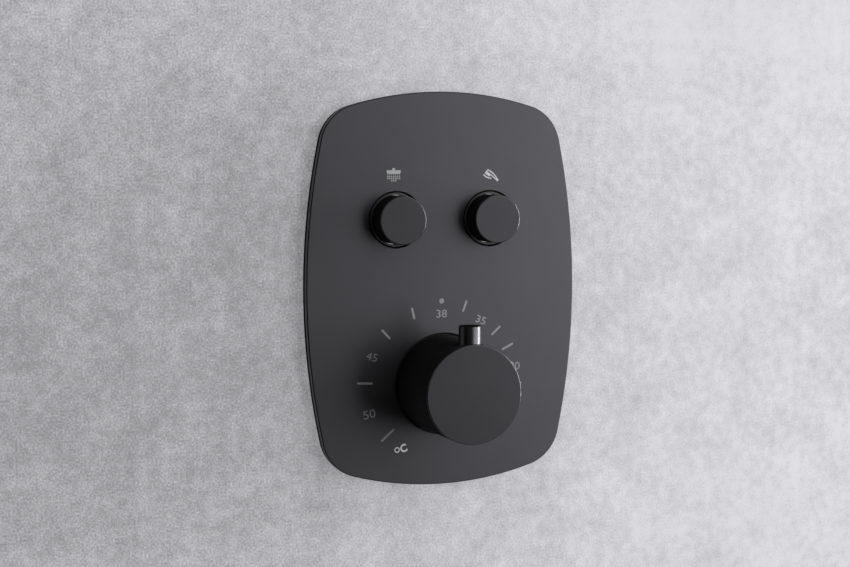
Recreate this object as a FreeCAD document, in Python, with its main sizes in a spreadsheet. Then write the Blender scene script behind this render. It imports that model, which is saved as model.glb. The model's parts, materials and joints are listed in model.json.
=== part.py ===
import FreeCAD, Part

import math
import os

import Sketcher

# Concealed thermostatic shower valve with two push buttons and a temperature knob.
# Millimetres. X to the right, Y into the wall, Z up. The origin is the middle of the face plate's
# outline, on the finished wall: everything that shows lies at Y < 0, the brass body at Y > 0.

SIZES = {
    # face plate and its gasket
    "plate_width": 130.0,
    "plate_height": 180.0,
    "side_bulge_radius": 326.0,
    "end_bulge_radius": 154.0,
    "plate_corner_radius": 20.3,
    "plate_thickness": 3.0,
    "plate_skin": 1.6,
    "plate_edge": 0.5,
    "gasket_thickness": 3.0,
    "gasket_inset": 0.1,
    "gasket_width": 3.0,
    "rim_margin": 0.5,
    "collar_wall": 1.5,
    "collar_depth": 8.0,
    "hole_edge": 0.3,
    # where the three controls stand on the plate
    "thermostat_drop": 43.3,
    "button_rise": 32.3,
    "button_offset": 22.7,
    # fits
    "thread_fit": 0.05,
    "running_fit": 0.05,
    "seat_gap": 0.05,
    "seal_fit": 0.03,
    # temperature knob
    "knob_radius": 22.2,
    "knob_reach": 38.7,
    "knob_sink": 1.5,
    "knob_gap": 1.05,
    "knob_edge": 0.5,
    "knob_wall": 2.4,
    "knob_face_wall": 3.0,
    "boss_wall": 2.5,
    "boss_clearance": 4.0,
    # safety pin, its spring and the finger under it
    "pin_radius": 4.9,
    "pin_behind_face": 6.05,
    "pin_proud": 7.8,
    "pin_edge": 0.35,
    "pin_fit": 0.08,
    "pin_travel": 3.0,
    "pin_seat_gap": 0.3,
    "stem_radius": 2.0,
    "finger_thickness": 1.0,
    "finger_half_width": 6.5,
    "finger_back": 7.0,
    "finger_arm": 3.0,
    "finger_clearance": 0.5,
    "pin_spring_radius": 2.6,
    "pin_spring_wire": 0.5,
    "pin_spring_turns": 6.0,
    "spring_pocket_play": 0.35,
    "spring_pocket_sink": 0.5,
    "stem_play": 0.4,
    # grub screw of the knob
    "grub_radius": 2.0,
    "grub_length": 5.0,
    "grub_socket": 2.2,
    "grub_socket_depth": 2.0,
    "grub_from_boss_end": 6.0,
    "grub_access_radius": 2.3,
    # spindle and spline adapter
    "spline_radius": 4.0,
    "spline_front_gap": 5.1,
    "spline_groove": 0.35,
    "spline_count": 16.0,
    "adapter_wall": 2.0,
    "adapter_cap": 1.0,
    "adapter_end_gap": 0.4,
    "journal_radius": 5.0,
    "journal_proud": 6.0,
    "spindle_flange_radius": 7.5,
    "spindle_flange": 2.0,
    "screw_radius": 4.0,
    # gland nut
    "nose_length": 20.0,
    "nose_radius": 11.0,
    "nose_shoulder": 12.0,
    "nose_step": 1.5,
    "gland_hex_clearance": 0.84,
    "gland_flange": 6.0,
    "gland_skirt": 8.0,
    "gland_cavity_inset": 0.15,
    "spindle_o_ring": 1.7,
    "o_ring_groove_play": 0.5,
    "spindle_o_ring_from_flange": 7.0,
    # temperature stop ring
    "stop_ring_wall": 2.6,
    "stop_ring_length": 6.0,
    "stop_flange": 2.0,
    "stop_tooth_height": 5.0,
    "stop_tooth_margin": 0.3,
    "stop_tooth_start": 7.0,
    "stop_tooth_sweep": 14.0,
    # sleeves that carry the plate
    "knob_sleeve_wall": 1.4,
    "knob_sleeve_gap": 1.2,
    "knob_plate_gap": 0.8,
    "knob_o_ring_sink": 0.6,
    "button_o_ring_sink": 0.5,
    "sleeve_o_ring_spacing": 3.0,
    "sleeve_o_ring_margin": 2.5,
    # regulating unit inside the thermostat
    "drive_nut_play_across": 0.1,
    "drive_nut_length": 8.0,
    "drive_nut_play": 3.0,
    "screw_overrun": 1.0,
    "regulator_travel": 1.1,
    "shuttle_margin": 0.2,
    "overload_spring_radius": 6.0,
    "overload_spring_wire": 1.2,
    "overload_spring_turns": 4.0,
    "overload_spring_length": 8.0,
    "piston_cap_radius": 7.5,
    "piston_cap_flange": 1.5,
    "piston_radius": 2.0,
    "piston_length": 2.95,
    "housing_wall": 3.8,
    "seat_rib": 2.0,
    "seat_lip": 3.15,
    "shuttle_chamber": 12.0,
    "shuttle_wall": 2.4,
    "shuttle_web": 3.0,
    "shuttle_hole_radius": 1.6,
    "shuttle_hole_count": 6.0,
    "element_radius": 4.5,
    "element_collar": 1.2,
    "element_collar_radius": 5.2,
    "element_nose": 3.8,
    "element_tail": 14.0,
    "return_spring_play": 0.8,
    "return_spring_wire": 1.2,
    "return_spring_turns": 6.0,
    "window_width": 5.0,
    "window_length": 2.4,
    "filter_thickness": 0.35,
    "filter_groove": 0.45,
    "filter_margin": 0.5,
    "filter_play": 0.2,
    "filter_hole_radius": 0.6,
    "filter_hole_count": 24.0,
    "housing_o_ring": 1.8,
    # cast body: thermostat barrel
    "mouth_depth": 12.0,
    "neck_length": 8.0,
    "neck_step": 2.0,
    "barrel_bore_radius": 16.0,
    "barrel_floor": 8.0,
    "annulus_step": 2.0,
    "annulus_length": 6.0,
    # cast body: inlets and outlets
    "port_radius": 14.5,
    "inlet_reach": 48.0,
    "outlet_reach": 38.0,
    "port_bore_radius": 9.0,
    "port_thread_radius": 11.0,
    "port_thread_length": 10.0,
    "feed_radius": 2.6,
    "feed_spread": 4.2,
    "duct_radius": 10.5,
    "duct_bore_radius": 6.5,
    "duct_margin": 3.5,
    "duct_floor": 1.0,
    "duct_throat_radius": 3.0,
    "outlet_duct_radius": 7.0,
    # cast body: button barrels
    "button_barrel_radius": 17.0,
    "button_mouth": 19.0,
    "button_bore_radius": 13.0,
    "button_bore_end": 47.0,
    "chamber_radius": 11.0,
    "chamber_room": 2.45,
    # connectors with the pipe threads
    "connector_hex_flats": 28.0,
    "connector_flange": 8.0,
    "connector_length": 16.0,
    "connector_rim_radius": 12.8,
    "pipe_thread_radius": 9.3,
    "pipe_thread_length": 13.0,
    "connector_web": 5.0,
    "connector_bore_radius": 7.0,
    "outlet_spigot_bore": 8.5,
    "connector_seal": 1.4,
    "connector_seal_gap": 0.1,
    # check valves
    "check_valve_length": 19.0,
    "check_valve_room": 3.0,
    "check_valve_wall": 1.5,
    "check_seat_length": 2.5,
    "check_seat_radius": 5.0,
    "check_poppet_radius": 6.2,
    "check_poppet_head": 2.0,
    "check_stem_radius": 1.5,
    "check_guide_length": 2.5,
    "check_hole_radius": 1.5,
    "check_hole_count": 6.0,
    "check_stem_overlap": 1.2,
    "check_fit": 0.1,
    "check_spring_radius": 3.4,
    "check_spring_wire": 0.5,
    "check_spring_turns": 4.0,
    # push buttons
    "button_radius": 10.95,
    "button_reach": 10.0,
    "button_travel": 4.5,
    "button_edge": 0.5,
    "button_wall": 1.4,
    "button_face_wall": 2.0,
    "button_stop_gap": 2.5,
    "button_boss_wall": 1.5,
    "button_boss_length": 9.0,
    "button_rod_engagement": 7.0,
    "button_gap": 0.35,
    "button_sleeve_wall": 1.0,
    "button_sleeve_recess": 0.4,
    "button_sleeve_edge": 0.25,
    "button_plate_gap": 0.5,
    "rod_radius": 3.0,
    "button_spring_radius": 6.5,
    "button_spring_wire": 0.9,
    "button_spring_turns": 7.0,
    # on-off cartridges behind the buttons
    "bonnet_collar": 6.0,
    "bonnet_flange": 5.0,
    "bonnet_hex_flats": 24.6,
    "bonnet_skirt": 11.0,
    "bonnet_cavity_radius": 9.0,
    "bonnet_web": 2.5,
    "rod_o_ring": 1.5,
    "cam_radius": 8.0,
    "cam_length": 4.0,
    "cam_teeth": 8.0,
    "cam_tooth_depth": 1.2,
    "rod_flange_radius": 6.0,
    "rod_flange": 1.2,
    "cage_wall": 2.6,
    "cage_seat_wall": 3.0,
    "cage_seat_radius": 6.5,
    "cage_window_width": 8.0,
    "cage_window_margin": 2.0,
    "cage_o_ring": 1.4,
    "poppet_radius": 8.5,
    "poppet_seal": 2.0,
    "poppet_thickness": 2.0,
    "rod_tail_radius": 2.0,
    # mounting bracket
    "bracket_margin_x": 9.0,
    "bracket_margin_z": 11.0,
    "bracket_thickness": 2.0,
    "bracket_corner_radius": 8.0,
    "bracket_fold": 10.0,
    "bracket_fold_height": 90.0,
    "fixing_spacing_x": 80.0,
    "fixing_spacing_z": 134.0,
    "fixing_slot_width": 6.5,
    "fixing_slot_length": 12.0,
    "bracket_screw_radius": 2.5,
    "bracket_screw_depth": 6.0,
    "bracket_screw_spread": 9.0,
    "screw_hole_play": 0.25,
    "screw_head_radius": 4.75,
    "screw_head_height": 3.0,
    "screw_drive_radius": 1.3,
    "screw_drive_depth": 1.6,
}


class Size:
    """A length written over the cells of the sheet, with the value it has now."""

    def __init__(self, text, value):
        self.text = text
        self.value = value

    def __add__(self, other):
        other = sized(other)
        return Size(f"({self.text} + {other.text})", self.value + other.value)

    def __sub__(self, other):
        other = sized(other)
        return Size(f"({self.text} - {other.text})", self.value - other.value)

    def __mul__(self, other):
        other = sized(other)
        return Size(f"({self.text} * {other.text})", self.value * other.value)

    def __truediv__(self, other):
        other = sized(other)
        return Size(f"({self.text} / {other.text})", self.value / other.value)

    def __neg__(self):
        return Size(f"(-{self.text})", -self.value)

    __radd__ = __add__
    __rmul__ = __mul__


def sized(number):
    return number if isinstance(number, Size) else Size(f"{number:.9g}", number)


def root(size):
    return Size(f"sqrt({size.text})", math.sqrt(size.value))


doc = FreeCAD.newDocument("shower_valve")
sheet = doc.addObject("Spreadsheet::Sheet", "Sizes")
for row, (alias, length) in enumerate(SIZES.items(), start=1):
    sheet.set(f"A{row}", alias)
    sheet.set(f"B{row}", str(length))
    sheet.setAlias(f"B{row}", alias)
doc.recompute()


class Sizes:
    """The sheet's cells by name, as Size."""

    def __getattr__(self, alias):
        return Size(f"Sizes.{alias}", float(sheet.get(alias)))


sizes = Sizes()
ZERO = Size("0", 0.0)
SIDES = (("left", -1), ("right", 1))
WATERS = ("hot", "cold", "mixed")
FULL_TURN = 360
SAME_PLACE = 1e-4
LEAST_CUT = 1e-3


# ---------------------------------------------------------------- drawing and building helpers

PLANES = {"X": "YZ_Plane", "Y": "XZ_Plane", "Z": "XY_Plane"}
NORMAL_SIGN = {"X": 1, "Y": -1, "Z": 1}
TURN_TO = {
    "X": FreeCAD.Rotation(FreeCAD.Vector(0, 1, 0), 90),
    "Y": FreeCAD.Rotation(FreeCAD.Vector(1, 0, 0), -90),
    "Z": FreeCAD.Rotation(),
}
sub_parts = []


def bind(thing, name, size):
    """Set a property of an object, or of its placement, from a size."""
    thing.setExpression(name, size.text)


def place(thing, x=ZERO, y=ZERO, z=ZERO):
    for name, size in (("x", x), ("y", y), ("z", z)):
        bind(thing, f"Placement.Base.{name}", size)


def new_body(label, x=ZERO, y=ZERO, z=ZERO):
    body = doc.addObject("PartDesign::Body", label)
    place(body, x, y, z)
    sub_parts.append(body)
    return body


def new_sketch(body, axis, level, name):
    """A sketch across an axis of the body, at a level along that axis."""
    sketch = body.newObject("Sketcher::SketchObject", name)
    role = PLANES[axis]
    plane = next(f for f in body.Origin.OriginFeatures if f.Role == role)
    sketch.AttachmentSupport = [(plane, "")]
    sketch.MapMode = "FlatFace"
    bind(sketch, "AttachmentOffset.Base.z", NORMAL_SIGN[axis] * level)
    return sketch


def hold(sketch, constraints):
    """Add constraints given as (kind, geometry and point numbers, size) and bind each to its size."""
    made = [Sketcher.Constraint(kind, *where, size.value) for kind, where, size in constraints]
    for number, (_, _, size) in zip(sketch.addConstraint(made), constraints):
        bind(sketch, f"Constraints[{number}]", size)


def polygon(sketch, points):
    """A closed line through points given as pairs of sizes."""
    corners = [FreeCAD.Vector(x.value, y.value, 0) for x, y in points]
    ends = corners[1:] + corners[:1]
    lines = [Part.LineSegment(start, end) for start, end in zip(corners, ends)]
    first = sketch.GeometryCount
    sketch.addGeometry(lines)
    count = len(points)
    sketch.addConstraint([
        Sketcher.Constraint("Coincident", first + n, 2, first + (n + 1) % count, 1) for n in range(count)
    ])
    wanted = []
    for n, (x, y) in enumerate(points):
        wanted.append(("DistanceX", (-1, 1, first + n, 1), x))
        wanted.append(("DistanceY", (-1, 1, first + n, 1), y))
    hold(sketch, wanted)


def rectangle(sketch, left, bottom, right, top):
    polygon(sketch, [(left, bottom), (right, bottom), (right, top), (left, top)])


def hexagon(sketch, flats):
    """A hexagon by its width across flats, with two corners on the sketch's X axis."""
    radius = flats / math.sqrt(3)
    angles = [math.pi / 3 * n for n in range(6)]
    polygon(sketch, [(radius * math.cos(angle), radius * math.sin(angle)) for angle in angles])


def circle(sketch, radius, x=ZERO, y=ZERO):
    number = sketch.GeometryCount
    centre = FreeCAD.Vector(x.value, y.value, 0)
    sketch.addGeometry(Part.Circle(centre, FreeCAD.Vector(0, 0, 1), radius.value))
    hold(sketch, [
        ("DistanceX", (-1, 1, number, 3), x),
        ("DistanceY", (-1, 1, number, 3), y),
        ("Radius", (number,), radius),
    ])


def arc(centre, radius, start, end):
    middle = FreeCAD.Vector(centre[0].value, centre[1].value, 0)
    return Part.ArcOfCircle(Part.Circle(middle, FreeCAD.Vector(0, 0, 1), radius.value), start, end)


def tangent_loop(sketch, pieces):
    """Arcs and lines that follow each other round a closed outline, each tangent to the next."""
    first = sketch.GeometryCount
    sketch.addGeometry(pieces)
    count = len(pieces)
    sketch.addConstraint([
        Sketcher.Constraint("Tangent", first + n, 2, first + (n + 1) % count, 1) for n in range(count)
    ])
    return first


def barrel(sketch, inset):
    """The plate's outline, moved inwards: four long arcs that bulge, and four round corners."""
    side_radius = sizes.side_bulge_radius - inset
    end_radius = sizes.end_bulge_radius - inset
    corner_radius = sizes.plate_corner_radius - inset
    side_centre = sizes.plate_width / 2 - sizes.side_bulge_radius
    end_centre = sizes.plate_height / 2 - sizes.end_bulge_radius
    # each corner's centre is where circles about the side's and the end's centres cross
    to_side = side_radius.value - corner_radius.value
    to_end = end_radius.value - corner_radius.value
    apart = math.hypot(side_centre.value, end_centre.value)
    along = (to_side**2 - to_end**2 + apart**2) / (2 * apart)
    across = math.sqrt(to_side**2 - along**2)
    unit_x = -side_centre.value / apart
    unit_z = end_centre.value / apart
    corner_x = side_centre.value + along * unit_x - across * unit_z
    corner_z = along * unit_z + across * unit_x
    low = math.atan2(corner_z, corner_x - side_centre.value)
    high = math.atan2(corner_z - end_centre.value, corner_x)
    half_turn = math.pi
    places = [
        ((side_centre, ZERO), side_radius, -low, low),
        ((sized(corner_x), sized(corner_z)), corner_radius, low, high),
        ((ZERO, end_centre), end_radius, high, half_turn - high),
        ((sized(-corner_x), sized(corner_z)), corner_radius, half_turn - high, half_turn - low),
        ((-side_centre, ZERO), side_radius, half_turn - low, half_turn + low),
        ((sized(-corner_x), sized(-corner_z)), corner_radius, half_turn + low, half_turn + high),
        ((ZERO, -end_centre), end_radius, half_turn + high, 2 * half_turn - high),
        ((sized(corner_x), sized(-corner_z)), corner_radius, 2 * half_turn - high, 2 * half_turn - low),
    ]
    first = tangent_loop(sketch, [arc(*each) for each in places])
    wanted = [("Radius", (first + n,), radius) for n, (_, radius, _, _) in enumerate(places)]
    for n in (0, 2, 4, 6):
        centre = places[n][0]
        wanted.append(("DistanceX", (-1, 1, first + n, 3), centre[0]))
        wanted.append(("DistanceY", (-1, 1, first + n, 3), centre[1]))
    hold(sketch, wanted)


def stadium(sketch, x, y, length, width):
    """A slot with round ends, lying along the sketch's X axis."""
    radius = width / 2
    reach = (length - width) / 2
    ends = [(x + reach, y), (x - reach, y)]
    top = y.value + radius.value
    bottom = y.value - radius.value
    right = ends[0][0].value
    left = ends[1][0].value
    pieces = [
        arc(ends[0], radius, -math.pi / 2, math.pi / 2),
        Part.LineSegment(FreeCAD.Vector(right, top, 0), FreeCAD.Vector(left, top, 0)),
        arc(ends[1], radius, math.pi / 2, 3 * math.pi / 2),
        Part.LineSegment(FreeCAD.Vector(left, bottom, 0), FreeCAD.Vector(right, bottom, 0)),
    ]
    first = tangent_loop(sketch, pieces)
    wanted = []
    for number, centre in ((first, ends[0]), (first + 2, ends[1])):
        wanted.append(("Radius", (number,), radius))
        wanted.append(("DistanceX", (-1, 1, number, 3), centre[0]))
        wanted.append(("DistanceY", (-1, 1, number, 3), centre[1]))
    hold(sketch, wanted)


def pad(body, axis, low, high, name, draw):
    """Material between two levels along an axis, with the outline that draw puts in the sketch."""
    level = low if NORMAL_SIGN[axis] > 0 else high
    sketch = new_sketch(body, axis, level, f"{name}_sketch")
    draw(sketch)
    feature = body.newObject("PartDesign::Pad", name)
    feature.Profile = sketch
    bind(feature, "Length", high - low)
    return feature


def pocket(body, axis, low, high, name, draw):
    """A cut between two levels along an axis."""
    level = high if NORMAL_SIGN[axis] > 0 else low
    sketch = new_sketch(body, axis, level, f"{name}_sketch")
    draw(sketch)
    feature = body.newObject("PartDesign::Pocket", name)
    feature.Profile = sketch
    bind(feature, "Length", high - low)
    return feature


def turned(label, axis, points, x=ZERO, y=ZERO, z=ZERO):
    """A body turned about its own axis from (radius, along) points of half its section."""
    body = new_body(label, x, y, z)
    turn(body, axis, points)
    return body


def turn(body, axis, points):
    """Turn half a section about the body's axis."""
    across = {"X": "Z", "Y": "Z", "Z": "Y"}[axis]
    sketch = new_sketch(body, across, ZERO, f"{body.Name}_section")
    if axis == "X":
        points = [(along, radius) for radius, along in points]
    polygon(sketch, points)
    feature = body.newObject("PartDesign::Revolution", f"{body.Name}_turn")
    feature.Profile = sketch
    feature.ReferenceAxis = (sketch, ["H_Axis" if axis == "X" else "V_Axis"])
    feature.Angle = FULL_TURN


def tube(inner, outer, low, high):
    """Half the section of a plain tube."""
    return [(inner, low), (outer, low), (outer, high), (inner, high)]


def pattern(body, feature, axis, count):
    """Repeat a feature all the way round one of the body's axes."""
    line = next(f for f in body.Origin.OriginFeatures if f.Role == f"{axis}_Axis")
    doc.recompute()
    repeat = body.newObject("PartDesign::PolarPattern", f"{feature.Name}_pattern")
    repeat.Originals = [feature]
    repeat.Axis = (line, [""])
    repeat.Angle = FULL_TURN
    bind(repeat, "Occurrences", count)
    body.Tip = repeat


def round_edges(body, radius, wanted):
    """Fillet the edges of the body that the test picks."""
    doc.recompute()
    base = body.Tip
    names = [f"Edge{n}" for n, edge in enumerate(base.Shape.Edges, start=1) if wanted(edge)]
    fillet = body.newObject("PartDesign::Fillet", f"{body.Name}_round")
    fillet.Base = (base, names)
    bind(fillet, "Radius", radius)
    return fillet


def ring_edge(axis, radius, level):
    """A test for circular edges of one radius at one level along an axis."""
    number = "XYZ".index(axis)

    def wanted(edge):
        if not isinstance(edge.Curve, Part.Circle):
            return False
        right_radius = abs(edge.Curve.Radius - radius.value) < SAME_PLACE
        return right_radius and abs(edge.Curve.Center[number] - level.value) < SAME_PLACE

    return wanted


def spring(label, axis, radius, wire, turns, low, high, x=ZERO, y=ZERO, z=ZERO):
    """A coil spring that fills the space between two levels, its wire's thickness included."""
    body = new_body(label, x, y, z)
    across = {"Y": "Z", "Z": "Y", "X": "Z"}[axis]
    sketch = new_sketch(body, across, ZERO, f"{label}_wire")
    start = low + wire / 2
    if axis == "X":
        circle(sketch, wire / 2, start, radius)
    else:
        circle(sketch, wire / 2, radius, start)
    coil = body.newObject("PartDesign::AdditiveHelix", f"{label}_coil")
    coil.Profile = sketch
    coil.ReferenceAxis = (sketch, ["H_Axis" if axis == "X" else "V_Axis"])
    coil.Mode = 0
    rise = high - low - wire
    bind(coil, "Height", rise)
    bind(coil, "Pitch", rise / turns)
    return body


def cylinder(name, axis, radius, low, high, x=ZERO, y=ZERO, z=ZERO):
    """A solid cylinder between two levels along an axis."""
    shape = doc.addObject("Part::Cylinder", name)
    shape.Placement = FreeCAD.Placement(FreeCAD.Vector(), TURN_TO[axis])
    bind(shape, "Radius", radius)
    bind(shape, "Height", high - low)
    starts = {"X": x, "Y": y, "Z": z}
    starts[axis] = starts[axis] + low
    place(shape, starts["X"], starts["Y"], starts["Z"])
    return shape


def ring(name, axis, radius, section, x=ZERO, y=ZERO, z=ZERO):
    """An O-ring by the radius of its middle circle and the diameter of its section."""
    shape = doc.addObject("Part::Torus", name)
    shape.Placement = FreeCAD.Placement(FreeCAD.Vector(), TURN_TO[axis])
    bind(shape, "Radius1", radius)
    bind(shape, "Radius2", section / 2)
    place(shape, x, y, z)
    return shape


def group(label, members):
    """Several like pieces in one node."""
    together = doc.addObject("Part::Compound", label)
    together.Links = members
    sub_parts.append(together)
    return together


# ---------------------------------------------------------------- levels and places along Y

plate_back = -sizes.gasket_thickness
plate_front = plate_back - sizes.plate_thickness
plate_inner = plate_front + sizes.plate_skin
collar_end = plate_back + sizes.collar_depth
knob_face = plate_front - sizes.knob_reach
knob_rim = plate_front + sizes.knob_sink
knob_inner_face = knob_face + sizes.knob_face_wall
button_face = plate_front - sizes.button_reach
knob_hole_radius = sizes.knob_radius + sizes.knob_gap
button_bore = sizes.button_radius + sizes.button_gap
button_sleeve_radius = button_bore + sizes.button_sleeve_wall
button_hole_radius = button_sleeve_radius + sizes.button_plate_gap
knob_z = -sizes.thermostat_drop
pin_y = knob_face + sizes.pin_behind_face


# ---------------------------------------------------------------- face plate and gasket


def make_faceplate():
    """Thin plate with a bulging outline, hollow behind its rim, with a collar round each hole."""
    body = new_body("faceplate")
    pad(body, "Y", plate_front, plate_back, "plate_outline", lambda sketch: barrel(sketch, ZERO))
    rim = sizes.gasket_inset + sizes.gasket_width + sizes.rim_margin
    pocket(body, "Y", plate_inner, plate_back, "plate_hollow", lambda sketch: barrel(sketch, rim))
    holes = [(knob_hole_radius, ZERO, knob_z)]
    for _, side in SIDES:
        holes.append((button_hole_radius, side * sizes.button_offset, sizes.button_rise))

    def collars(sketch):
        for radius, x, z in holes:
            circle(sketch, radius + sizes.collar_wall, x, z)

    def openings(sketch):
        for radius, x, z in holes:
            circle(sketch, radius, x, z)

    pad(body, "Y", plate_inner - sizes.plate_skin / 2, collar_end, "plate_collars", collars)
    pocket(body, "Y", plate_front, collar_end, "plate_holes", openings)

    def outline_edge(edge):
        at_front = all(abs(v.Y - plate_front.value) < SAME_PLACE for v in edge.Vertexes)
        return at_front and len(edge.Vertexes) == 2

    round_edges(body, sizes.plate_edge, outline_edge)

    def hole_edge(edge):
        tests = [ring_edge("Y", radius, plate_front)(edge) for radius, _, _ in holes]
        return any(tests) and len(edge.Vertexes) == 1

    round_edges(body, sizes.hole_edge, hole_edge)


def make_gasket():
    """Foam strip behind the plate's rim, set back from its edge."""
    body = new_body("plate_gasket")
    outer = sizes.gasket_inset
    inner = sizes.gasket_inset + sizes.gasket_width
    pad(body, "Y", plate_back, ZERO, "gasket_outline", lambda sketch: barrel(sketch, outer))
    pocket(body, "Y", plate_back, ZERO, "gasket_opening", lambda sketch: barrel(sketch, inner))


# ---------------------------------------------------------------- temperature knob

mouth = sizes.mouth_depth
gland_front = mouth - sizes.gland_flange
nose_front = gland_front - sizes.nose_length
stop_seat = gland_front - sizes.nose_shoulder
journal_front = nose_front - sizes.journal_proud
spline_front = knob_inner_face + sizes.spline_front_gap
adapter_front = spline_front - sizes.adapter_cap
adapter_radius = sizes.spline_radius + sizes.running_fit + sizes.adapter_wall
boss_bore = adapter_radius + sizes.running_fit
boss_radius = boss_bore + sizes.boss_wall
boss_end = journal_front - sizes.boss_clearance
knob_bore = sizes.knob_radius - sizes.knob_wall
pin_end = sizes.knob_radius + sizes.pin_proud
pin_hole = sizes.pin_radius + sizes.pin_fit
finger_half = sizes.finger_half_width
finger_top = root(knob_bore * knob_bore - finger_half * finger_half) - sizes.pin_seat_gap
finger_bottom = finger_top - sizes.finger_thickness
spring_seat = boss_radius - sizes.spring_pocket_sink
stem_end = spring_seat + sizes.pin_travel + sizes.stem_play
grub_y = boss_end - sizes.grub_from_boss_end
grub_top = -(adapter_radius + sizes.seat_gap)
tooth_front = stop_seat - sizes.stop_flange - sizes.stop_tooth_height


def make_knob():
    """Hollow cylinder closed in front, with a boss for the spindle and a hole for the pin."""
    body = turned("temperature_knob", "Y", [
        (ZERO, knob_face),
        (sizes.knob_radius, knob_face),
        (sizes.knob_radius, knob_rim),
        (knob_bore, knob_rim),
        (knob_bore, knob_inner_face),
        (boss_radius, knob_inner_face),
        (boss_radius, boss_end),
        (boss_bore, boss_end),
        (boss_bore, adapter_front),
        (ZERO, adapter_front),
    ], z=knob_z)
    round_edges(body, sizes.knob_edge, ring_edge("Y", sizes.knob_radius, knob_face))
    play = sizes.pin_seat_gap
    low = finger_top - sizes.pin_travel - play
    pocket(body, "Z", low, sizes.knob_radius + play, "pin_hole",
           lambda sketch: circle(sketch, pin_hole, ZERO, pin_y))
    pocket_radius = sizes.pin_spring_radius + sizes.pin_spring_wire / 2 + sizes.spring_pocket_play
    pocket(body, "Z", spring_seat, boss_radius + play, "spring_seat",
           lambda sketch: circle(sketch, pocket_radius, ZERO, pin_y))
    thread = sizes.grub_radius + sizes.thread_fit
    pocket(body, "Z", -(boss_radius + play), -(boss_bore - play), "grub_thread",
           lambda sketch: circle(sketch, thread, ZERO, grub_y))
    pocket(body, "Z", -(sizes.knob_radius + play), -(knob_bore - play), "grub_access",
           lambda sketch: circle(sketch, sizes.grub_access_radius, ZERO, grub_y))


def make_safety_pin():
    """Short round button that stands out of the knob's side and points at the dial."""
    body = turned("safety_pin", "Z", [
        (ZERO, stem_end),
        (sizes.stem_radius, stem_end),
        (sizes.stem_radius, finger_top),
        (sizes.pin_radius, finger_top),
        (sizes.pin_radius, pin_end),
        (ZERO, pin_end),
    ], y=pin_y, z=knob_z)
    round_edges(body, sizes.pin_edge, ring_edge("Z", sizes.pin_radius, pin_end))


def make_stop_finger():
    """Sheet finger on the pin's stem: it holds the pin in the knob and reaches the stop ring."""
    body = new_body("stop_finger", z=knob_z)
    front = knob_inner_face + sizes.pin_seat_gap
    back = pin_y + sizes.finger_back
    end = tooth_front - sizes.finger_clearance
    arm = sizes.finger_arm / 2

    def outline(sketch):
        polygon(sketch, [
            (-finger_half, front),
            (finger_half, front),
            (finger_half, back),
            (arm, back),
            (arm, end),
            (-arm, end),
            (-arm, back),
            (-finger_half, back),
        ])
        circle(sketch, sizes.stem_radius + sizes.running_fit, ZERO, pin_y)

    pad(body, "Z", finger_bottom, finger_top, "finger_sheet", outline)


def make_pin_spring():
    spring("pin_spring", "Z", sizes.pin_spring_radius, sizes.pin_spring_wire, sizes.pin_spring_turns,
           spring_seat + sizes.seat_gap, finger_bottom - sizes.seat_gap, y=pin_y, z=knob_z)


def make_grub_screw():
    low = grub_top - sizes.grub_length
    body = turned("knob_grub_screw", "Z", [
        (ZERO, low),
        (sizes.grub_radius, low),
        (sizes.grub_radius, grub_top),
        (ZERO, grub_top),
    ], y=grub_y, z=knob_z)
    pocket(body, "Z", low, low + sizes.grub_socket_depth, "grub_socket",
           lambda sketch: hexagon(sketch, sizes.grub_socket))


def make_spline_adapter():
    back = journal_front - sizes.adapter_end_gap
    turned("spline_adapter", "Y", [
        (ZERO, adapter_front),
        (adapter_radius, adapter_front),
        (adapter_radius, back),
        (sizes.spline_radius + sizes.running_fit, back),
        (sizes.spline_radius + sizes.running_fit, spline_front),
        (ZERO, spline_front),
    ], z=knob_z)


# ---------------------------------------------------------------- thermostat, front end

gland_skirt_end = mouth + sizes.gland_skirt
spindle_flange_front = gland_front + sizes.seat_gap
spindle_flange_back = spindle_flange_front + sizes.spindle_flange
drive_nut_front = spindle_flange_back + sizes.drive_nut_play
drive_nut_back = drive_nut_front + sizes.drive_nut_length
screw_end = drive_nut_back + sizes.screw_overrun
journal_bore = sizes.journal_radius + sizes.running_fit
knob_sleeve_radius = knob_hole_radius - sizes.knob_plate_gap
sleeve_bore = knob_sleeve_radius - sizes.knob_sleeve_wall
neck_radius = sleeve_bore - sizes.thread_fit
barrel_radius = neck_radius + sizes.neck_step
gland_flats = (sleeve_bore - sizes.gland_hex_clearance) * math.sqrt(3)
housing_radius = sizes.barrel_bore_radius - sizes.thread_fit
housing_bore = housing_radius - sizes.housing_wall
cavity = housing_bore - sizes.gland_cavity_inset


def grooved(radius, bottom, levels, width):
    """The points of grooves cut in a turned wall, walking along the axis."""
    points = []
    for level in levels:
        start = level - width / 2
        end = level + width / 2
        points += [(radius, start), (bottom, start), (bottom, end), (radius, end)]
    return points


def hollow(body, axis, points, name):
    """Cut a turned space from half of its section."""
    across = {"X": "Z", "Y": "Z", "Z": "Y"}[axis]
    sketch = new_sketch(body, across, ZERO, f"{name}_section")
    if axis == "X":
        points = [(along, radius) for radius, along in points]
    polygon(sketch, points)
    cut = body.newObject("PartDesign::Groove", name)
    cut.Profile = sketch
    cut.ReferenceAxis = (sketch, ["H_Axis" if axis == "X" else "V_Axis"])
    cut.Angle = FULL_TURN


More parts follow.
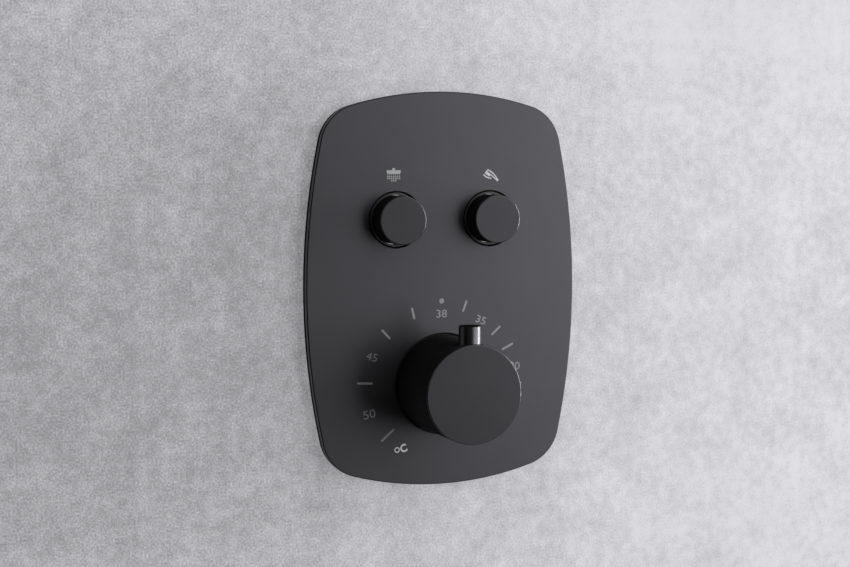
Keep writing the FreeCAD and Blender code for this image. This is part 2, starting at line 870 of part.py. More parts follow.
def make_gland_nut():
    """Hexagon nut that closes the thermostat barrel and carries the spindle."""
    body = new_body("gland_nut", z=knob_z)
    pad(body, "Y", gland_front, mouth, "gland_hexagon", lambda sketch: hexagon(sketch, gland_flats))
    skirt = sizes.barrel_bore_radius - sizes.thread_fit
    turn(body, "Y", [
        (ZERO, nose_front),
        (sizes.nose_radius, nose_front),
        (sizes.nose_radius, stop_seat),
        (sizes.nose_radius + sizes.nose_step, stop_seat),
        (sizes.nose_radius + sizes.nose_step, mouth),
        (skirt, mouth),
        (skirt, gland_skirt_end),
        (ZERO, gland_skirt_end),
    ])
    groove = journal_bore + sizes.spindle_o_ring
    level = gland_front - sizes.spindle_o_ring_from_flange
    inner_wall = grooved(journal_bore, groove, [level], sizes.spindle_o_ring + sizes.o_ring_groove_play)
    hollow(body, "Y", [
        (ZERO, nose_front),
        (journal_bore, nose_front),
        *inner_wall,
        (journal_bore, gland_front),
        (cavity, gland_front),
        (cavity, gland_skirt_end),
        (ZERO, gland_skirt_end),
    ], "gland_bore")
    section = sizes.spindle_o_ring - sizes.seal_fit
    seal = ring("spindle_o_ring_part", "Y", journal_bore + section / 2, section, y=level, z=knob_z)
    group("spindle_o_ring", [seal])


def make_spindle():
    """Turned spindle: splines in front, a journal, a thrust flange and the regulating screw."""
    body = turned("spindle", "Y", [
        (ZERO, spline_front),
        (sizes.spline_radius, spline_front),
        (sizes.spline_radius, journal_front),
        (sizes.journal_radius, journal_front),
        (sizes.journal_radius, spindle_flange_front),
        (sizes.spindle_flange_radius, spindle_flange_front),
        (sizes.spindle_flange_radius, spindle_flange_back),
        (sizes.screw_radius, spindle_flange_back),
        (sizes.screw_radius, screw_end),
        (ZERO, screw_end),
    ], z=knob_z)
    groove = pocket(body, "Y", spline_front, journal_front, "spline_groove",
                    lambda sketch: circle(sketch, sizes.spline_groove, sizes.spline_radius, ZERO))
    pattern(body, groove, "Y", sizes.spline_count)


def make_stop_ring():
    """Ring on the gland nut's nose with the tooth that marks 38 degrees."""
    inner = sizes.nose_radius + sizes.thread_fit
    outer = inner + sizes.stop_ring_wall
    flange_front = stop_seat - sizes.stop_flange
    tooth_outer = finger_top + sizes.stop_tooth_margin
    tooth_inner = finger_bottom - sizes.stop_tooth_margin
    ring_front = stop_seat - sizes.stop_ring_length
    body = turned("stop_ring", "Y", [
        (inner, ring_front),
        (outer, ring_front),
        (outer, flange_front),
        (tooth_outer, flange_front),
        (tooth_outer, stop_seat),
        (inner, stop_seat),
    ], z=knob_z)

    def tooth(sketch):
        start = math.radians(sizes.stop_tooth_start.value)
        end = start + math.radians(sizes.stop_tooth_sweep.value)
        corners = [(tooth_inner, start), (tooth_outer, start), (tooth_outer, end), (tooth_inner, end)]
        polygon(sketch, [
            (-radius * math.sin(angle), radius * math.cos(angle)) for radius, angle in corners
        ])

    pad(body, "Y", tooth_front, stop_seat - sizes.stop_flange / 2, "stop_tooth", tooth)


def sleeve_seals(name, hole, bottom, levels, x, z):
    """O-rings that fill the space between a sleeve's groove and the plate's collar."""
    section = hole - bottom - 2 * sizes.seal_fit
    middle = (hole + bottom) / 2
    return [
        ring(f"{name}_{n}", "Y", middle, section, x=x, y=level, z=z) for n, level in enumerate(levels)
    ]


seal_levels = [
    collar_end - sizes.sleeve_o_ring_margin - sizes.sleeve_o_ring_spacing,
    collar_end - sizes.sleeve_o_ring_margin,
]


def make_knob_sleeve():
    """Tube screwed on the barrel's neck: its O-rings hold the plate."""
    front = knob_rim + sizes.knob_sleeve_gap
    back = mouth + sizes.neck_length
    bottom = knob_sleeve_radius - sizes.knob_o_ring_sink
    width = knob_hole_radius - bottom + sizes.o_ring_groove_play
    turned("knob_sleeve", "Y", [
        (sleeve_bore, front),
        (knob_sleeve_radius, front),
        *grooved(knob_sleeve_radius, bottom, seal_levels, width),
        (knob_sleeve_radius, back),
        (sleeve_bore, back),
    ], z=knob_z)
    group("knob_sleeve_o_rings",
          sleeve_seals("knob_seal", knob_hole_radius, bottom, seal_levels, ZERO, knob_z))


# ---------------------------------------------------------------- thermostat, regulating unit

overload_end = drive_nut_back + sizes.overload_spring_length
piston_front = overload_end + sizes.piston_cap_flange
element_nose = piston_front + sizes.piston_length
element_collar = element_nose + sizes.element_nose
web_front = element_collar + sizes.element_collar
shuttle_middle = web_front + sizes.shuttle_web / 2
web_back = shuttle_middle + sizes.shuttle_web / 2
hot_seat_back = shuttle_middle - sizes.shuttle_chamber / 2
hot_seat_front = hot_seat_back - sizes.seat_rib
cold_seat_front = hot_seat_back + sizes.shuttle_chamber
cold_seat_back = cold_seat_front + sizes.seat_rib
shuttle_play = sizes.regulator_travel + sizes.shuttle_margin
shuttle_front = hot_seat_back + shuttle_play
shuttle_back = cold_seat_front - shuttle_play
shuttle_outer = housing_bore - sizes.running_fit
shuttle_inner = shuttle_outer - sizes.shuttle_wall
seat_bore = housing_bore - sizes.seat_lip
return_spring_radius = seat_bore - sizes.return_spring_play - sizes.return_spring_wire / 2
annulus_pitch = cold_seat_back - sizes.annulus_length - hot_seat_front
annulus_starts = [hot_seat_front + n * annulus_pitch for n in range(len(WATERS))]
barrel_bore_end = annulus_starts[-1] + annulus_pitch


def make_regulating_unit():
    """Drive nut, overload spring, piston cap, wax element and shuttle: they move as one."""
    nut_radius = cavity - sizes.drive_nut_play_across
    nut_bore = sizes.screw_radius + sizes.running_fit
    turned("drive_nut", "Y", tube(nut_bore, nut_radius, drive_nut_front, drive_nut_back), z=knob_z)
    spring("overload_spring", "Y", sizes.overload_spring_radius, sizes.overload_spring_wire,
           sizes.overload_spring_turns, drive_nut_back, overload_end, z=knob_z)
    turned("piston_cap", "Y", [
        (ZERO, overload_end),
        (sizes.piston_cap_radius, overload_end),
        (sizes.piston_cap_radius, piston_front),
        (ZERO, piston_front),
    ], z=knob_z)
    tail = web_back + sizes.element_tail
    turned("wax_element", "Y", [
        (ZERO, piston_front),
        (sizes.piston_radius, piston_front),
        (sizes.piston_radius, element_nose),
        (sizes.element_radius, element_nose),
        (sizes.element_radius, element_collar),
        (sizes.element_collar_radius, element_collar),
        (sizes.element_collar_radius, web_front),
        (sizes.element_radius, web_front),
        (sizes.element_radius, tail),
        (ZERO, tail),
    ], z=knob_z)
    hub = sizes.element_radius + sizes.running_fit
    body = turned("shuttle", "Y", [
        (shuttle_inner, shuttle_front),
        (shuttle_outer, shuttle_front),
        (shuttle_outer, shuttle_back),
        (shuttle_inner, shuttle_back),
        (shuttle_inner, web_back),
        (hub, web_back),
        (hub, web_front),
        (shuttle_inner, web_front),
    ], z=knob_z)
    hole = pocket(body, "Y", web_front, web_back, "shuttle_hole",
                  lambda sketch: circle(sketch, sizes.shuttle_hole_radius, (hub + shuttle_inner) / 2, ZERO))
    pattern(body, hole, "Y", sizes.shuttle_hole_count)


def make_return_spring():
    spring("return_spring", "Y", return_spring_radius, sizes.return_spring_wire,
           sizes.return_spring_turns, web_back + sizes.seat_gap,
           barrel_bore_end - sizes.seat_gap, z=knob_z)


def make_housing():
    """Cartridge housing with the hot and cold seats, its filters and its O-rings."""
    land = annulus_pitch - sizes.annulus_length
    levels = [start - land / 2 for start in annulus_starts]
    bottom = sizes.barrel_bore_radius - sizes.housing_o_ring
    width = sizes.housing_o_ring + sizes.o_ring_groove_play
    wall = []
    filter_bottom = housing_radius - sizes.filter_groove
    filter_length = sizes.annulus_length - 2 * sizes.filter_margin
    for number, level in enumerate(levels):
        wall += grooved(housing_radius, bottom, [level], width)
        if number < 2:
            middle = annulus_starts[number] + sizes.annulus_length / 2
            wall += grooved(housing_radius, filter_bottom, [middle], filter_length)
    body = turned("cartridge_housing", "Y", [
        (housing_bore, gland_skirt_end),
        (housing_radius, gland_skirt_end),
        *wall,
        (housing_radius, barrel_bore_end),
        (housing_bore, barrel_bore_end),
        (housing_bore, cold_seat_back),
        (seat_bore, cold_seat_back),
        (seat_bore, cold_seat_front),
        (housing_bore, cold_seat_front),
        (housing_bore, hot_seat_back),
        (seat_bore, hot_seat_back),
        (seat_bore, hot_seat_front),
        (housing_bore, hot_seat_front),
    ], z=knob_z)
    half = sizes.window_width / 2
    mixed = annulus_starts[2] + sizes.filter_margin
    windows = [
        ("hot", hot_seat_back, hot_seat_back + sizes.window_length),
        ("cold", cold_seat_front - sizes.window_length, cold_seat_front),
        ("mixed", mixed, mixed + sizes.annulus_length - 2 * sizes.filter_margin),
    ]
    for name, low, high in windows:
        pocket(body, "Z", -housing_radius, housing_radius, f"{name}_window",
               lambda sketch: rectangle(sketch, -half, low, half, high))
        pocket(body, "X", -housing_radius, housing_radius, f"{name}_side_window",
               lambda sketch: rectangle(sketch, low, -half, high, half))
    section = sizes.housing_o_ring - 2 * sizes.seal_fit
    middle = (bottom + sizes.barrel_bore_radius) / 2
    rings = [ring(f"housing_seal_{n}", "Y", middle, section, y=y, z=knob_z) for n, y in enumerate(levels)]
    group("housing_o_rings", rings)
    for number, name in enumerate(("hot_filter", "cold_filter")):
        low = annulus_starts[number] + sizes.filter_margin + sizes.filter_play
        high = low + filter_length - 2 * sizes.filter_play
        inner = filter_bottom + sizes.seal_fit
        screen = turned(name, "Y", tube(inner, inner + sizes.filter_thickness, low, high), z=knob_z)
        middle = (low + high) / 2
        hole = pocket(screen, "Z", ZERO, housing_radius, f"{name}_hole",
                      lambda sketch: circle(sketch, sizes.filter_hole_radius, ZERO, middle))
        pattern(screen, hole, "Y", sizes.filter_hole_count)


# ---------------------------------------------------------------- cast body

body_back = barrel_bore_end + sizes.barrel_floor
inlet_depth = (annulus_starts[0] + annulus_starts[1] + sizes.annulus_length) / 2
duct_depth = body_back - sizes.duct_margin - sizes.duct_radius
bonnet_end = sizes.button_mouth + sizes.bonnet_skirt
cage_back = sizes.button_bore_end
cage_seat = cage_back - sizes.cage_seat_wall
outlet_depth = (bonnet_end + cage_seat) / 2
seal_front = cage_back + sizes.seat_gap
seal_back = seal_front + sizes.poppet_seal
poppet_back = seal_back + sizes.poppet_thickness
chamber_end = poppet_back + sizes.button_travel + sizes.chamber_room
inlet_bore = sizes.port_bore_radius
port_inner = sizes.inlet_reach - sizes.port_thread_length
check_valve_outer = (
    sizes.inlet_reach + sizes.connector_length - sizes.pipe_thread_length - sizes.connector_web
)
check_valve_inner = check_valve_outer - sizes.check_valve_length
inlet_bore_end = check_valve_inner - sizes.check_valve_room
outlet_top = sizes.button_rise + sizes.outlet_reach
outlet_inner = outlet_top - sizes.port_thread_length
seal_seat_depth = sizes.connector_seal + sizes.connector_seal_gap
seal_seat_radius = sizes.port_thread_radius + sizes.connector_seal + 2 * sizes.connector_seal_gap


def make_valve_body():
    """Brass casting: thermostat barrel, two button barrels, inlets, outlets and the duct between."""
    shoulder = mouth + sizes.neck_length
    back = body_back
    rise = sizes.button_rise
    port = sizes.port_radius
    annulus_radius = sizes.barrel_bore_radius + sizes.annulus_step
    throat_end = knob_z + annulus_radius + sizes.duct_floor
    solids = [
        cylinder("neck", "Y", neck_radius, mouth, back, z=knob_z),
        cylinder("barrel", "Y", barrel_radius, shoulder, back, z=knob_z),
        cylinder("inlets", "X", port, -sizes.inlet_reach, sizes.inlet_reach,
                 y=inlet_depth, z=knob_z),
        cylinder("riser", "Z", sizes.duct_radius, knob_z, rise, y=duct_depth),
        cylinder("manifold", "X", sizes.duct_radius, -sizes.button_offset, sizes.button_offset,
                 y=duct_depth, z=rise),
    ]
    cuts = [
        cylinder("barrel_bore", "Y", sizes.barrel_bore_radius, mouth, barrel_bore_end, z=knob_z),
        cylinder("throat", "Z", sizes.duct_throat_radius, knob_z, throat_end, y=duct_depth),
        cylinder("riser_bore", "Z", sizes.duct_bore_radius, throat_end, rise, y=duct_depth),
        cylinder("manifold_bore", "X", sizes.duct_bore_radius, -sizes.button_offset,
                 sizes.button_offset, y=duct_depth, z=rise),
    ]
    for number, start in enumerate(annulus_starts):
        cuts.append(cylinder(f"annulus_{number}", "Y", annulus_radius, start,
                             start + sizes.annulus_length, z=knob_z))
    for name, side in SIDES:
        x = side * sizes.button_offset
        solids.append(cylinder(f"{name}_barrel", "Y", sizes.button_barrel_radius, sizes.button_mouth, back,
                               x=x, z=rise))
        solids.append(cylinder(f"{name}_outlet", "Z", port, rise, outlet_top,
                               x=x, y=outlet_depth))
        cuts.append(cylinder(f"{name}_bore", "Y", sizes.button_bore_radius, sizes.button_mouth,
                             sizes.button_bore_end, x=x, z=rise))
        cuts.append(cylinder(f"{name}_chamber", "Y", sizes.chamber_radius, sizes.button_bore_end,
                             chamber_end, x=x, z=rise))
        cuts.append(cylinder(f"{name}_outlet_duct", "Z", sizes.outlet_duct_radius,
                             rise + sizes.button_bore_radius / 2, outlet_inner, x=x, y=outlet_depth))
        cuts.append(cylinder(f"{name}_outlet_thread", "Z", sizes.port_thread_radius, outlet_inner,
                             outlet_top, x=x, y=outlet_depth))
        cuts.append(cylinder(f"{name}_outlet_seat", "Z", seal_seat_radius,
                             outlet_top - seal_seat_depth, outlet_top, x=x, y=outlet_depth))
        cuts.append(cylinder(f"{name}_bracket_thread", "Y", sizes.bracket_screw_radius,
                             back - sizes.bracket_screw_depth, back, x=x, z=rise))
        cuts.append(cylinder(f"{name}_lower_bracket_thread", "Y", sizes.bracket_screw_radius,
                             back - sizes.bracket_screw_depth, back,
                             x=side * sizes.bracket_screw_spread, z=knob_z))
        for key, radius, start, end in (
            ("inlet_bore", inlet_bore, inlet_bore_end, port_inner),
            ("inlet_thread", sizes.port_thread_radius, port_inner, sizes.inlet_reach),
            ("inlet_seat", seal_seat_radius, sizes.inlet_reach - seal_seat_depth, sizes.inlet_reach),
        ):
            ends = sorted((side * start, side * end), key=lambda size: size.value)
            cuts.append(cylinder(f"{name}_{key}", "X", radius, *ends, y=inlet_depth, z=knob_z))
        feed_y = annulus_starts[0 if side < 0 else 1] + sizes.annulus_length / 2
        feed_start = sizes.barrel_bore_radius / 2
        for key, across in (("upper", 1), ("lower", -1)):
            ends = sorted((side * feed_start, side * inlet_bore_end), key=lambda size: size.value)
            cuts.append(cylinder(f"{name}_{key}_feed", "X", sizes.feed_radius, *ends,
                                 y=feed_y, z=knob_z + across * sizes.feed_spread))
    casting = doc.addObject("Part::MultiFuse", "casting")
    casting.Shapes = solids
    waterways = doc.addObject("Part::MultiFuse", "waterways")
    waterways.Shapes = cuts
    body = doc.addObject("Part::Cut", "valve_body")
    body.Base = casting
    body.Tool = waterways
    body.Refine = True
    sub_parts.append(body)


# ---------------------------------------------------------------- connectors and check valves


def make_connector(label, axis, side, reach, inner_bore, x, y, z):
    """Hexagon connector screwed into a port, with the pipe thread in its outer end."""
    start = reach - sizes.port_thread_length
    web_start = reach + sizes.connector_length - sizes.pipe_thread_length - sizes.connector_web
    thread_start = reach + sizes.connector_length - sizes.pipe_thread_length
    end = reach + sizes.connector_length
    flange_end = reach + sizes.connector_flange
    body = new_body(label, x, y, z)
    low, high = sorted((side * reach, side * flange_end), key=lambda size: size.value)
    pad(body, axis, low, high, f"{label}_hexagon", lambda sketch: hexagon(sketch, sizes.connector_hex_flats))
    spigot = sizes.port_thread_radius - sizes.thread_fit
    turn(body, axis, [
        (ZERO, side * start),
        (spigot, side * start),
        (spigot, side * reach),
        (sizes.connector_rim_radius, side * reach),
        (sizes.connector_rim_radius, side * end),
        (ZERO, side * end),
    ])
    hollow(body, axis, [
        (ZERO, side * start),
        (inner_bore, side * start),
        (inner_bore, side * web_start),
        (sizes.connector_bore_radius, side * web_start),
        (sizes.connector_bore_radius, side * thread_start),
        (sizes.pipe_thread_radius, side * thread_start),
        (sizes.pipe_thread_radius, side * end),
        (ZERO, side * end),
    ], f"{label}_bore")


def make_connectors():
    seals = []
    middle = sizes.port_thread_radius + sizes.connector_seal_gap + sizes.connector_seal / 2
    for (_, side), inlet, outlet in zip(SIDES, ("hot_inlet", "cold_inlet"),
                                        ("shower_outlet", "handset_outlet")):
        make_connector(inlet, "X", side, sizes.inlet_reach, inlet_bore, ZERO, inlet_depth, knob_z)
        x = side * sizes.button_offset
        make_connector(outlet, "Z", 1, outlet_top, sizes.outlet_spigot_bore, x, outlet_depth, ZERO)
        at_inlet = side * (sizes.inlet_reach - seal_seat_depth / 2)
        at_outlet = outlet_top - seal_seat_depth / 2
        seals.append(ring(f"{inlet}_seal", "X", middle, sizes.connector_seal,
                          x=at_inlet, y=inlet_depth, z=knob_z))
        seals.append(ring(f"{outlet}_seal", "Z", middle, sizes.connector_seal,
                          x=x, y=outlet_depth, z=at_outlet))
    group("connector_seals", seals)


def make_check_valve(name, side):
    """Non-return valve in an inlet: a cage, and a poppet that the water pushes off its seat."""
    outer_end = check_valve_outer
    inner_end = check_valve_inner
    radius = inlet_bore - sizes.check_fit
    bore = radius - sizes.check_valve_wall
    guide_end = inner_end + sizes.check_guide_length
    seat = outer_end - sizes.check_seat_length
    stem_bore = sizes.check_stem_radius + sizes.running_fit
    at = {"y": inlet_depth, "z": knob_z}
    body = turned(f"{name}_check_valve", "X", [
        (stem_bore, side * inner_end),
        (radius, side * inner_end),
        (radius, side * outer_end),
        (sizes.check_seat_radius, side * outer_end),
        (sizes.check_seat_radius, side * seat),
        (bore, side * seat),
        (bore, side * guide_end),
        (stem_bore, side * guide_end),
    ], **at)
    low, high = sorted((side * inner_end, side * guide_end), key=lambda size: size.value)
    hole_circle = (stem_bore + bore) / 2
    hole = pocket(body, "X", low, high, f"{name}_check_hole",
                  lambda sketch: circle(sketch, sizes.check_hole_radius, hole_circle, ZERO))
    pattern(body, hole, "X", sizes.check_hole_count)
    head = seat - sizes.seat_gap
    head_back = head - sizes.check_poppet_head
    stem_end = guide_end - sizes.check_stem_overlap
    turned(f"{name}_check_poppet", "X", [
        (ZERO, side * head),
        (sizes.check_poppet_radius, side * head),
        (sizes.check_poppet_radius, side * head_back),
        (sizes.check_stem_radius, side * head_back),
        (sizes.check_stem_radius, side * stem_end),
        (ZERO, side * stem_end),
    ], **at)
    low, high = sorted((side * (guide_end + sizes.seat_gap), side * (head_back - sizes.seat_gap)),
                       key=lambda size: size.value)
    spring(f"{name}_check_spring", "X", sizes.check_spring_radius, sizes.check_spring_wire,
           sizes.check_spring_turns, low, high, **at)


# ---------------------------------------------------------------- push buttons

bonnet_front = sizes.button_mouth - sizes.bonnet_flange - sizes.bonnet_collar
bonnet_seat = sizes.button_mouth - sizes.bonnet_flange
bonnet_cavity = sizes.button_mouth + sizes.bonnet_web
cage_radius = sizes.button_bore_radius - sizes.thread_fit
cage_bore = cage_radius - sizes.cage_wall
button_inner_face = button_face + sizes.button_face_wall
boss_back = button_inner_face + sizes.button_boss_length
skirt_end = bonnet_front - sizes.button_travel - sizes.button_stop_gap
rod_front = boss_back - sizes.button_rod_engagement
rod_bore = sizes.rod_radius + sizes.running_fit
cam_front = bonnet_cavity + sizes.pin_seat_gap
cam_back = cam_front + sizes.cam_length
rod_flange_front = cam_back + sizes.seat_gap


def make_button(name, side):
    """Cap, sleeve, rod, spring, latch cam and on-off cartridge of one push button."""
    at = {"x": side * sizes.button_offset, "z": sizes.button_rise}
    inner = sizes.button_radius - sizes.button_wall
    boss = rod_bore + sizes.button_boss_wall
    cap = turned(f"{name}_button", "Y", [
        (ZERO, button_face),
        (sizes.button_radius, button_face),
        (sizes.button_radius, skirt_end),
        (inner, skirt_end),
        (inner, button_inner_face),
        (boss, button_inner_face),
        (boss, boss_back),
        (rod_bore, boss_back),
        (rod_bore, rod_front),
        (ZERO, rod_front),
    ], **at)
    round_edges(cap, sizes.button_edge, ring_edge("Y", sizes.button_radius, button_face))
    front = plate_front + sizes.button_sleeve_recess
    bottom = button_sleeve_radius - sizes.button_o_ring_sink
    width = button_hole_radius - bottom + sizes.o_ring_groove_play
    sleeve = turned(f"{name}_button_sleeve", "Y", [
        (button_bore, front),
        (button_sleeve_radius, front),
        *grooved(button_sleeve_radius, bottom, seal_levels, width),
        (button_sleeve_radius, bonnet_seat),
        (button_bore, bonnet_seat),
    ], **at)
    round_edges(sleeve, sizes.button_sleeve_edge, ring_edge("Y", button_sleeve_radius, front))
    turned(f"{name}_push_rod", "Y", [
        (ZERO, rod_front),
        (sizes.rod_radius, rod_front),
        (sizes.rod_radius, rod_flange_front),
        (sizes.rod_flange_radius, rod_flange_front),
        (sizes.rod_flange_radius, rod_flange_front + sizes.rod_flange),
        (sizes.rod_radius, rod_flange_front + sizes.rod_flange),
        (sizes.rod_radius, seal_front),
        (sizes.rod_tail_radius, seal_front),
        (sizes.rod_tail_radius, poppet_back),
        (ZERO, poppet_back),
    ], **at)
    spring(f"{name}_button_spring", "Y", sizes.button_spring_radius, sizes.button_spring_wire,
           sizes.button_spring_turns, button_inner_face + sizes.seat_gap, bonnet_front - sizes.seat_gap, **at)
    cam = turned(f"{name}_latch_cam", "Y", tube(rod_bore, sizes.cam_radius, cam_front, cam_back), **at)
    half = sizes.cam_tooth_depth
    notch = pocket(cam, "Z", ZERO, sizes.cam_radius, f"{name}_cam_notch", lambda sketch: polygon(sketch, [
        (-half, cam_front),
        (half, cam_front),
        (half, cam_front + sizes.cam_tooth_depth),
    ]))
    pattern(cam, notch, "Y", sizes.cam_teeth)
    tail = sizes.rod_tail_radius + sizes.running_fit
    turned(f"{name}_poppet_seal", "Y", tube(tail, sizes.poppet_radius, seal_front, seal_back), **at)
    turned(f"{name}_poppet", "Y", tube(tail, sizes.poppet_radius, seal_back, poppet_back), **at)
    return [
        sleeve_seals(f"{name}_seal", button_hole_radius, bottom, seal_levels, at["x"], at["z"]),
        make_bonnet(name, at),
        make_cage(name, at),
    ]


def make_bonnet(name, at):
    """Hexagon bonnet that closes the button barrel and guides the rod; returns the rod's O-ring."""
    body = new_body(f"{name}_bonnet", **at)
    pad(body, "Y", bonnet_seat, sizes.button_mouth, f"{name}_bonnet_hexagon",
        lambda sketch: hexagon(sketch, sizes.bonnet_hex_flats))
    collar = button_bore - sizes.thread_fit
    skirt = sizes.button_bore_radius - sizes.thread_fit
    turn(body, "Y", [
        (ZERO, bonnet_front),
        (collar, bonnet_front),
        (collar, sizes.button_mouth),
        (skirt, sizes.button_mouth),
        (skirt, bonnet_end),
        (ZERO, bonnet_end),
    ])
    level = (bonnet_seat + sizes.button_mouth) / 2
    groove = rod_bore + sizes.rod_o_ring
    hollow(body, "Y", [
        (ZERO, bonnet_front),
        (rod_bore, bonnet_front),
        *grooved(rod_bore, groove, [level], sizes.rod_o_ring + sizes.o_ring_groove_play),
        (rod_bore, bonnet_cavity),
        (sizes.bonnet_cavity_radius, bonnet_cavity),
        (sizes.bonnet_cavity_radius, bonnet_end),
        (ZERO, bonnet_end),
    ], f"{name}_bonnet_bore")
    section = sizes.rod_o_ring - sizes.seal_fit
    return ring(f"{name}_rod_seal", "Y", rod_bore + section / 2, section, y=level, **at)


def make_cage(name, at):
    """Seat cage at the bottom of the button barrel; returns its O-ring."""
    level = (cage_seat + cage_back) / 2
    bottom = sizes.button_bore_radius - sizes.cage_o_ring
    body = turned(f"{name}_seat_cage", "Y", [
        (cage_bore, bonnet_end),
        (cage_radius, bonnet_end),
        *grooved(cage_radius, bottom, [level], sizes.cage_o_ring + sizes.o_ring_groove_play),
        (cage_radius, cage_back),
        (sizes.cage_seat_radius, cage_back),
        (sizes.cage_seat_radius, cage_seat),
        (cage_bore, cage_seat),
    ], **at)
    half = sizes.cage_window_width / 2
    low = bonnet_end + sizes.cage_window_margin
    high = cage_seat - sizes.cage_window_margin
    pocket(body, "Z", -cage_radius, cage_radius, f"{name}_cage_window",
           lambda sketch: rectangle(sketch, -half, low, half, high))
    pocket(body, "X", -cage_radius, cage_radius, f"{name}_cage_side_window",
           lambda sketch: rectangle(sketch, low, -half, high, half))
    section = sizes.cage_o_ring - 2 * sizes.seal_fit
    middle = (bottom + sizes.button_bore_radius) / 2
    return ring(f"{name}_cage_seal", "Y", middle, section, y=level, **at)


# ---------------------------------------------------------------- mounting bracket


def make_bracket():
    """Sheet bracket behind the body, with folded sides and four slots for the wall screws."""
    body = new_body("mounting_bracket")
    front = body_back
    back = front + sizes.bracket_thickness
    slot_x = sizes.fixing_spacing_x / 2
    slot_z = sizes.fixing_spacing_z / 2
    x = slot_x + sizes.bracket_margin_x
    z = slot_z + sizes.bracket_margin_z
    pad(body, "Y", front, back, "bracket_sheet", lambda sketch: rectangle(sketch, -x, -z, x, z))

    def corner_edge(edge):
        ends = [v.Point for v in edge.Vertexes]
        return len(ends) == 2 and abs(ends[0].x - ends[1].x) + abs(ends[0].z - ends[1].z) < SAME_PLACE

    round_edges(body, sizes.bracket_corner_radius, corner_edge)
    fold = sizes.bracket_fold_height / 2

    def folds(sketch):
        rectangle(sketch, -x, -fold, -x + sizes.bracket_thickness, fold)
        rectangle(sketch, x - sizes.bracket_thickness, -fold, x, fold)

    pad(body, "Y", back - sizes.bracket_fold, back - sizes.bracket_thickness / 2, "bracket_folds", folds)
    slot = (sizes.fixing_slot_length, sizes.fixing_slot_width)
    hole = sizes.bracket_screw_radius + sizes.screw_hole_play
    screws = [
        (sizes.bracket_screw_spread, knob_z),
        (-sizes.bracket_screw_spread, knob_z),
        (sizes.button_offset, sizes.button_rise),
        (-sizes.button_offset, sizes.button_rise),
    ]

    def holes(sketch):
        for across in (-1, 1):
            for up in (-1, 1):
                stadium(sketch, across * slot_x, up * slot_z, *slot)
        for screw_x, screw_z in screws:
            circle(sketch, hole, screw_x, screw_z)

    pocket(body, "Y", front, back, "bracket_holes", holes)
    make_bracket_screws(back, screws)


def make_bracket_screws(seat, places):
    """Four pan-head screws that hold the bracket to the casting."""
    tip = body_back - sizes.bracket_screw_depth + sizes.pin_seat_gap
    radius = sizes.bracket_screw_radius - sizes.thread_fit
    members = []
    for number, (x, z) in enumerate(places):
        shank = cylinder(f"screw_shank_{number}", "Y", radius, tip, seat, x=x, z=z)
        head = cylinder(f"screw_head_{number}", "Y", sizes.screw_head_radius, seat,
                        seat + sizes.screw_head_height, x=x, z=z)
        drive = cylinder(f"screw_drive_{number}", "Y", sizes.screw_drive_radius,
                         seat + sizes.screw_head_height - sizes.screw_drive_depth,
                         seat + sizes.screw_head_height, x=x, z=z)
        solid = doc.addObject("Part::Fuse", f"screw_solid_{number}")
        solid.Base = shank
        solid.Tool = head
        cut = doc.addObject("Part::Cut", f"screw_{number}")
        cut.Base = solid
        cut.Tool = drive
        members.append(cut)
    group("bracket_screws", members)


# ---------------------------------------------------------------- build, check and write

make_faceplate()
make_gasket()
make_knob()
make_safety_pin()
make_stop_finger()
make_pin_spring()
make_grub_screw()
make_spline_adapter()
make_gland_nut()
make_spindle()
make_stop_ring()
make_knob_sleeve()
make_regulating_unit()
make_return_spring()
make_housing()
make_valve_body()
make_connectors()
make_check_valve("hot", -1)
make_check_valve("cold", 1)
button_seals = [make_button(name, side) for name, side in SIDES]
group("button_sleeve_o_rings", button_seals[0][0] + button_seals[1][0])
group("rod_o_rings", [seals[1] for seals in button_seals])
group("cage_o_rings", [seals[2] for seals in button_seals])
make_bracket()
doc.recompute()

CUTTING = ("PartDesign::Pocket", "PartDesign::Groove")
for thing in doc.Objects:
    if "Invalid" in thing.State or "Error" in thing.State:
        raise RuntimeError(f"{thing.Label} failed: {thing.State}")
    if thing.TypeId in CUTTING:
        removed = thing.BaseFeature.Shape.Volume - thing.Shape.Volume
        if removed < LEAST_CUT:
            raise RuntimeError(f"{thing.Label} cuts nothing")
for thing in sub_parts:
    if thing.Shape.isNull() or not thing.Shape.isValid() or not thing.Shape.Solids:
        raise RuntimeError(f"{thing.Label} has no valid solid")

os.makedirs("parts", exist_ok=True)
for thing in sub_parts:
    thing.Shape.exportStep(f"parts/{thing.Label}.step")
    print(thing.Label, len(thing.Shape.Solids), round(thing.Shape.Volume, 2))
print(len(sub_parts), "nodes")
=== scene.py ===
import json
import math

import bmesh
import bpy
from mathutils import Matrix, Vector


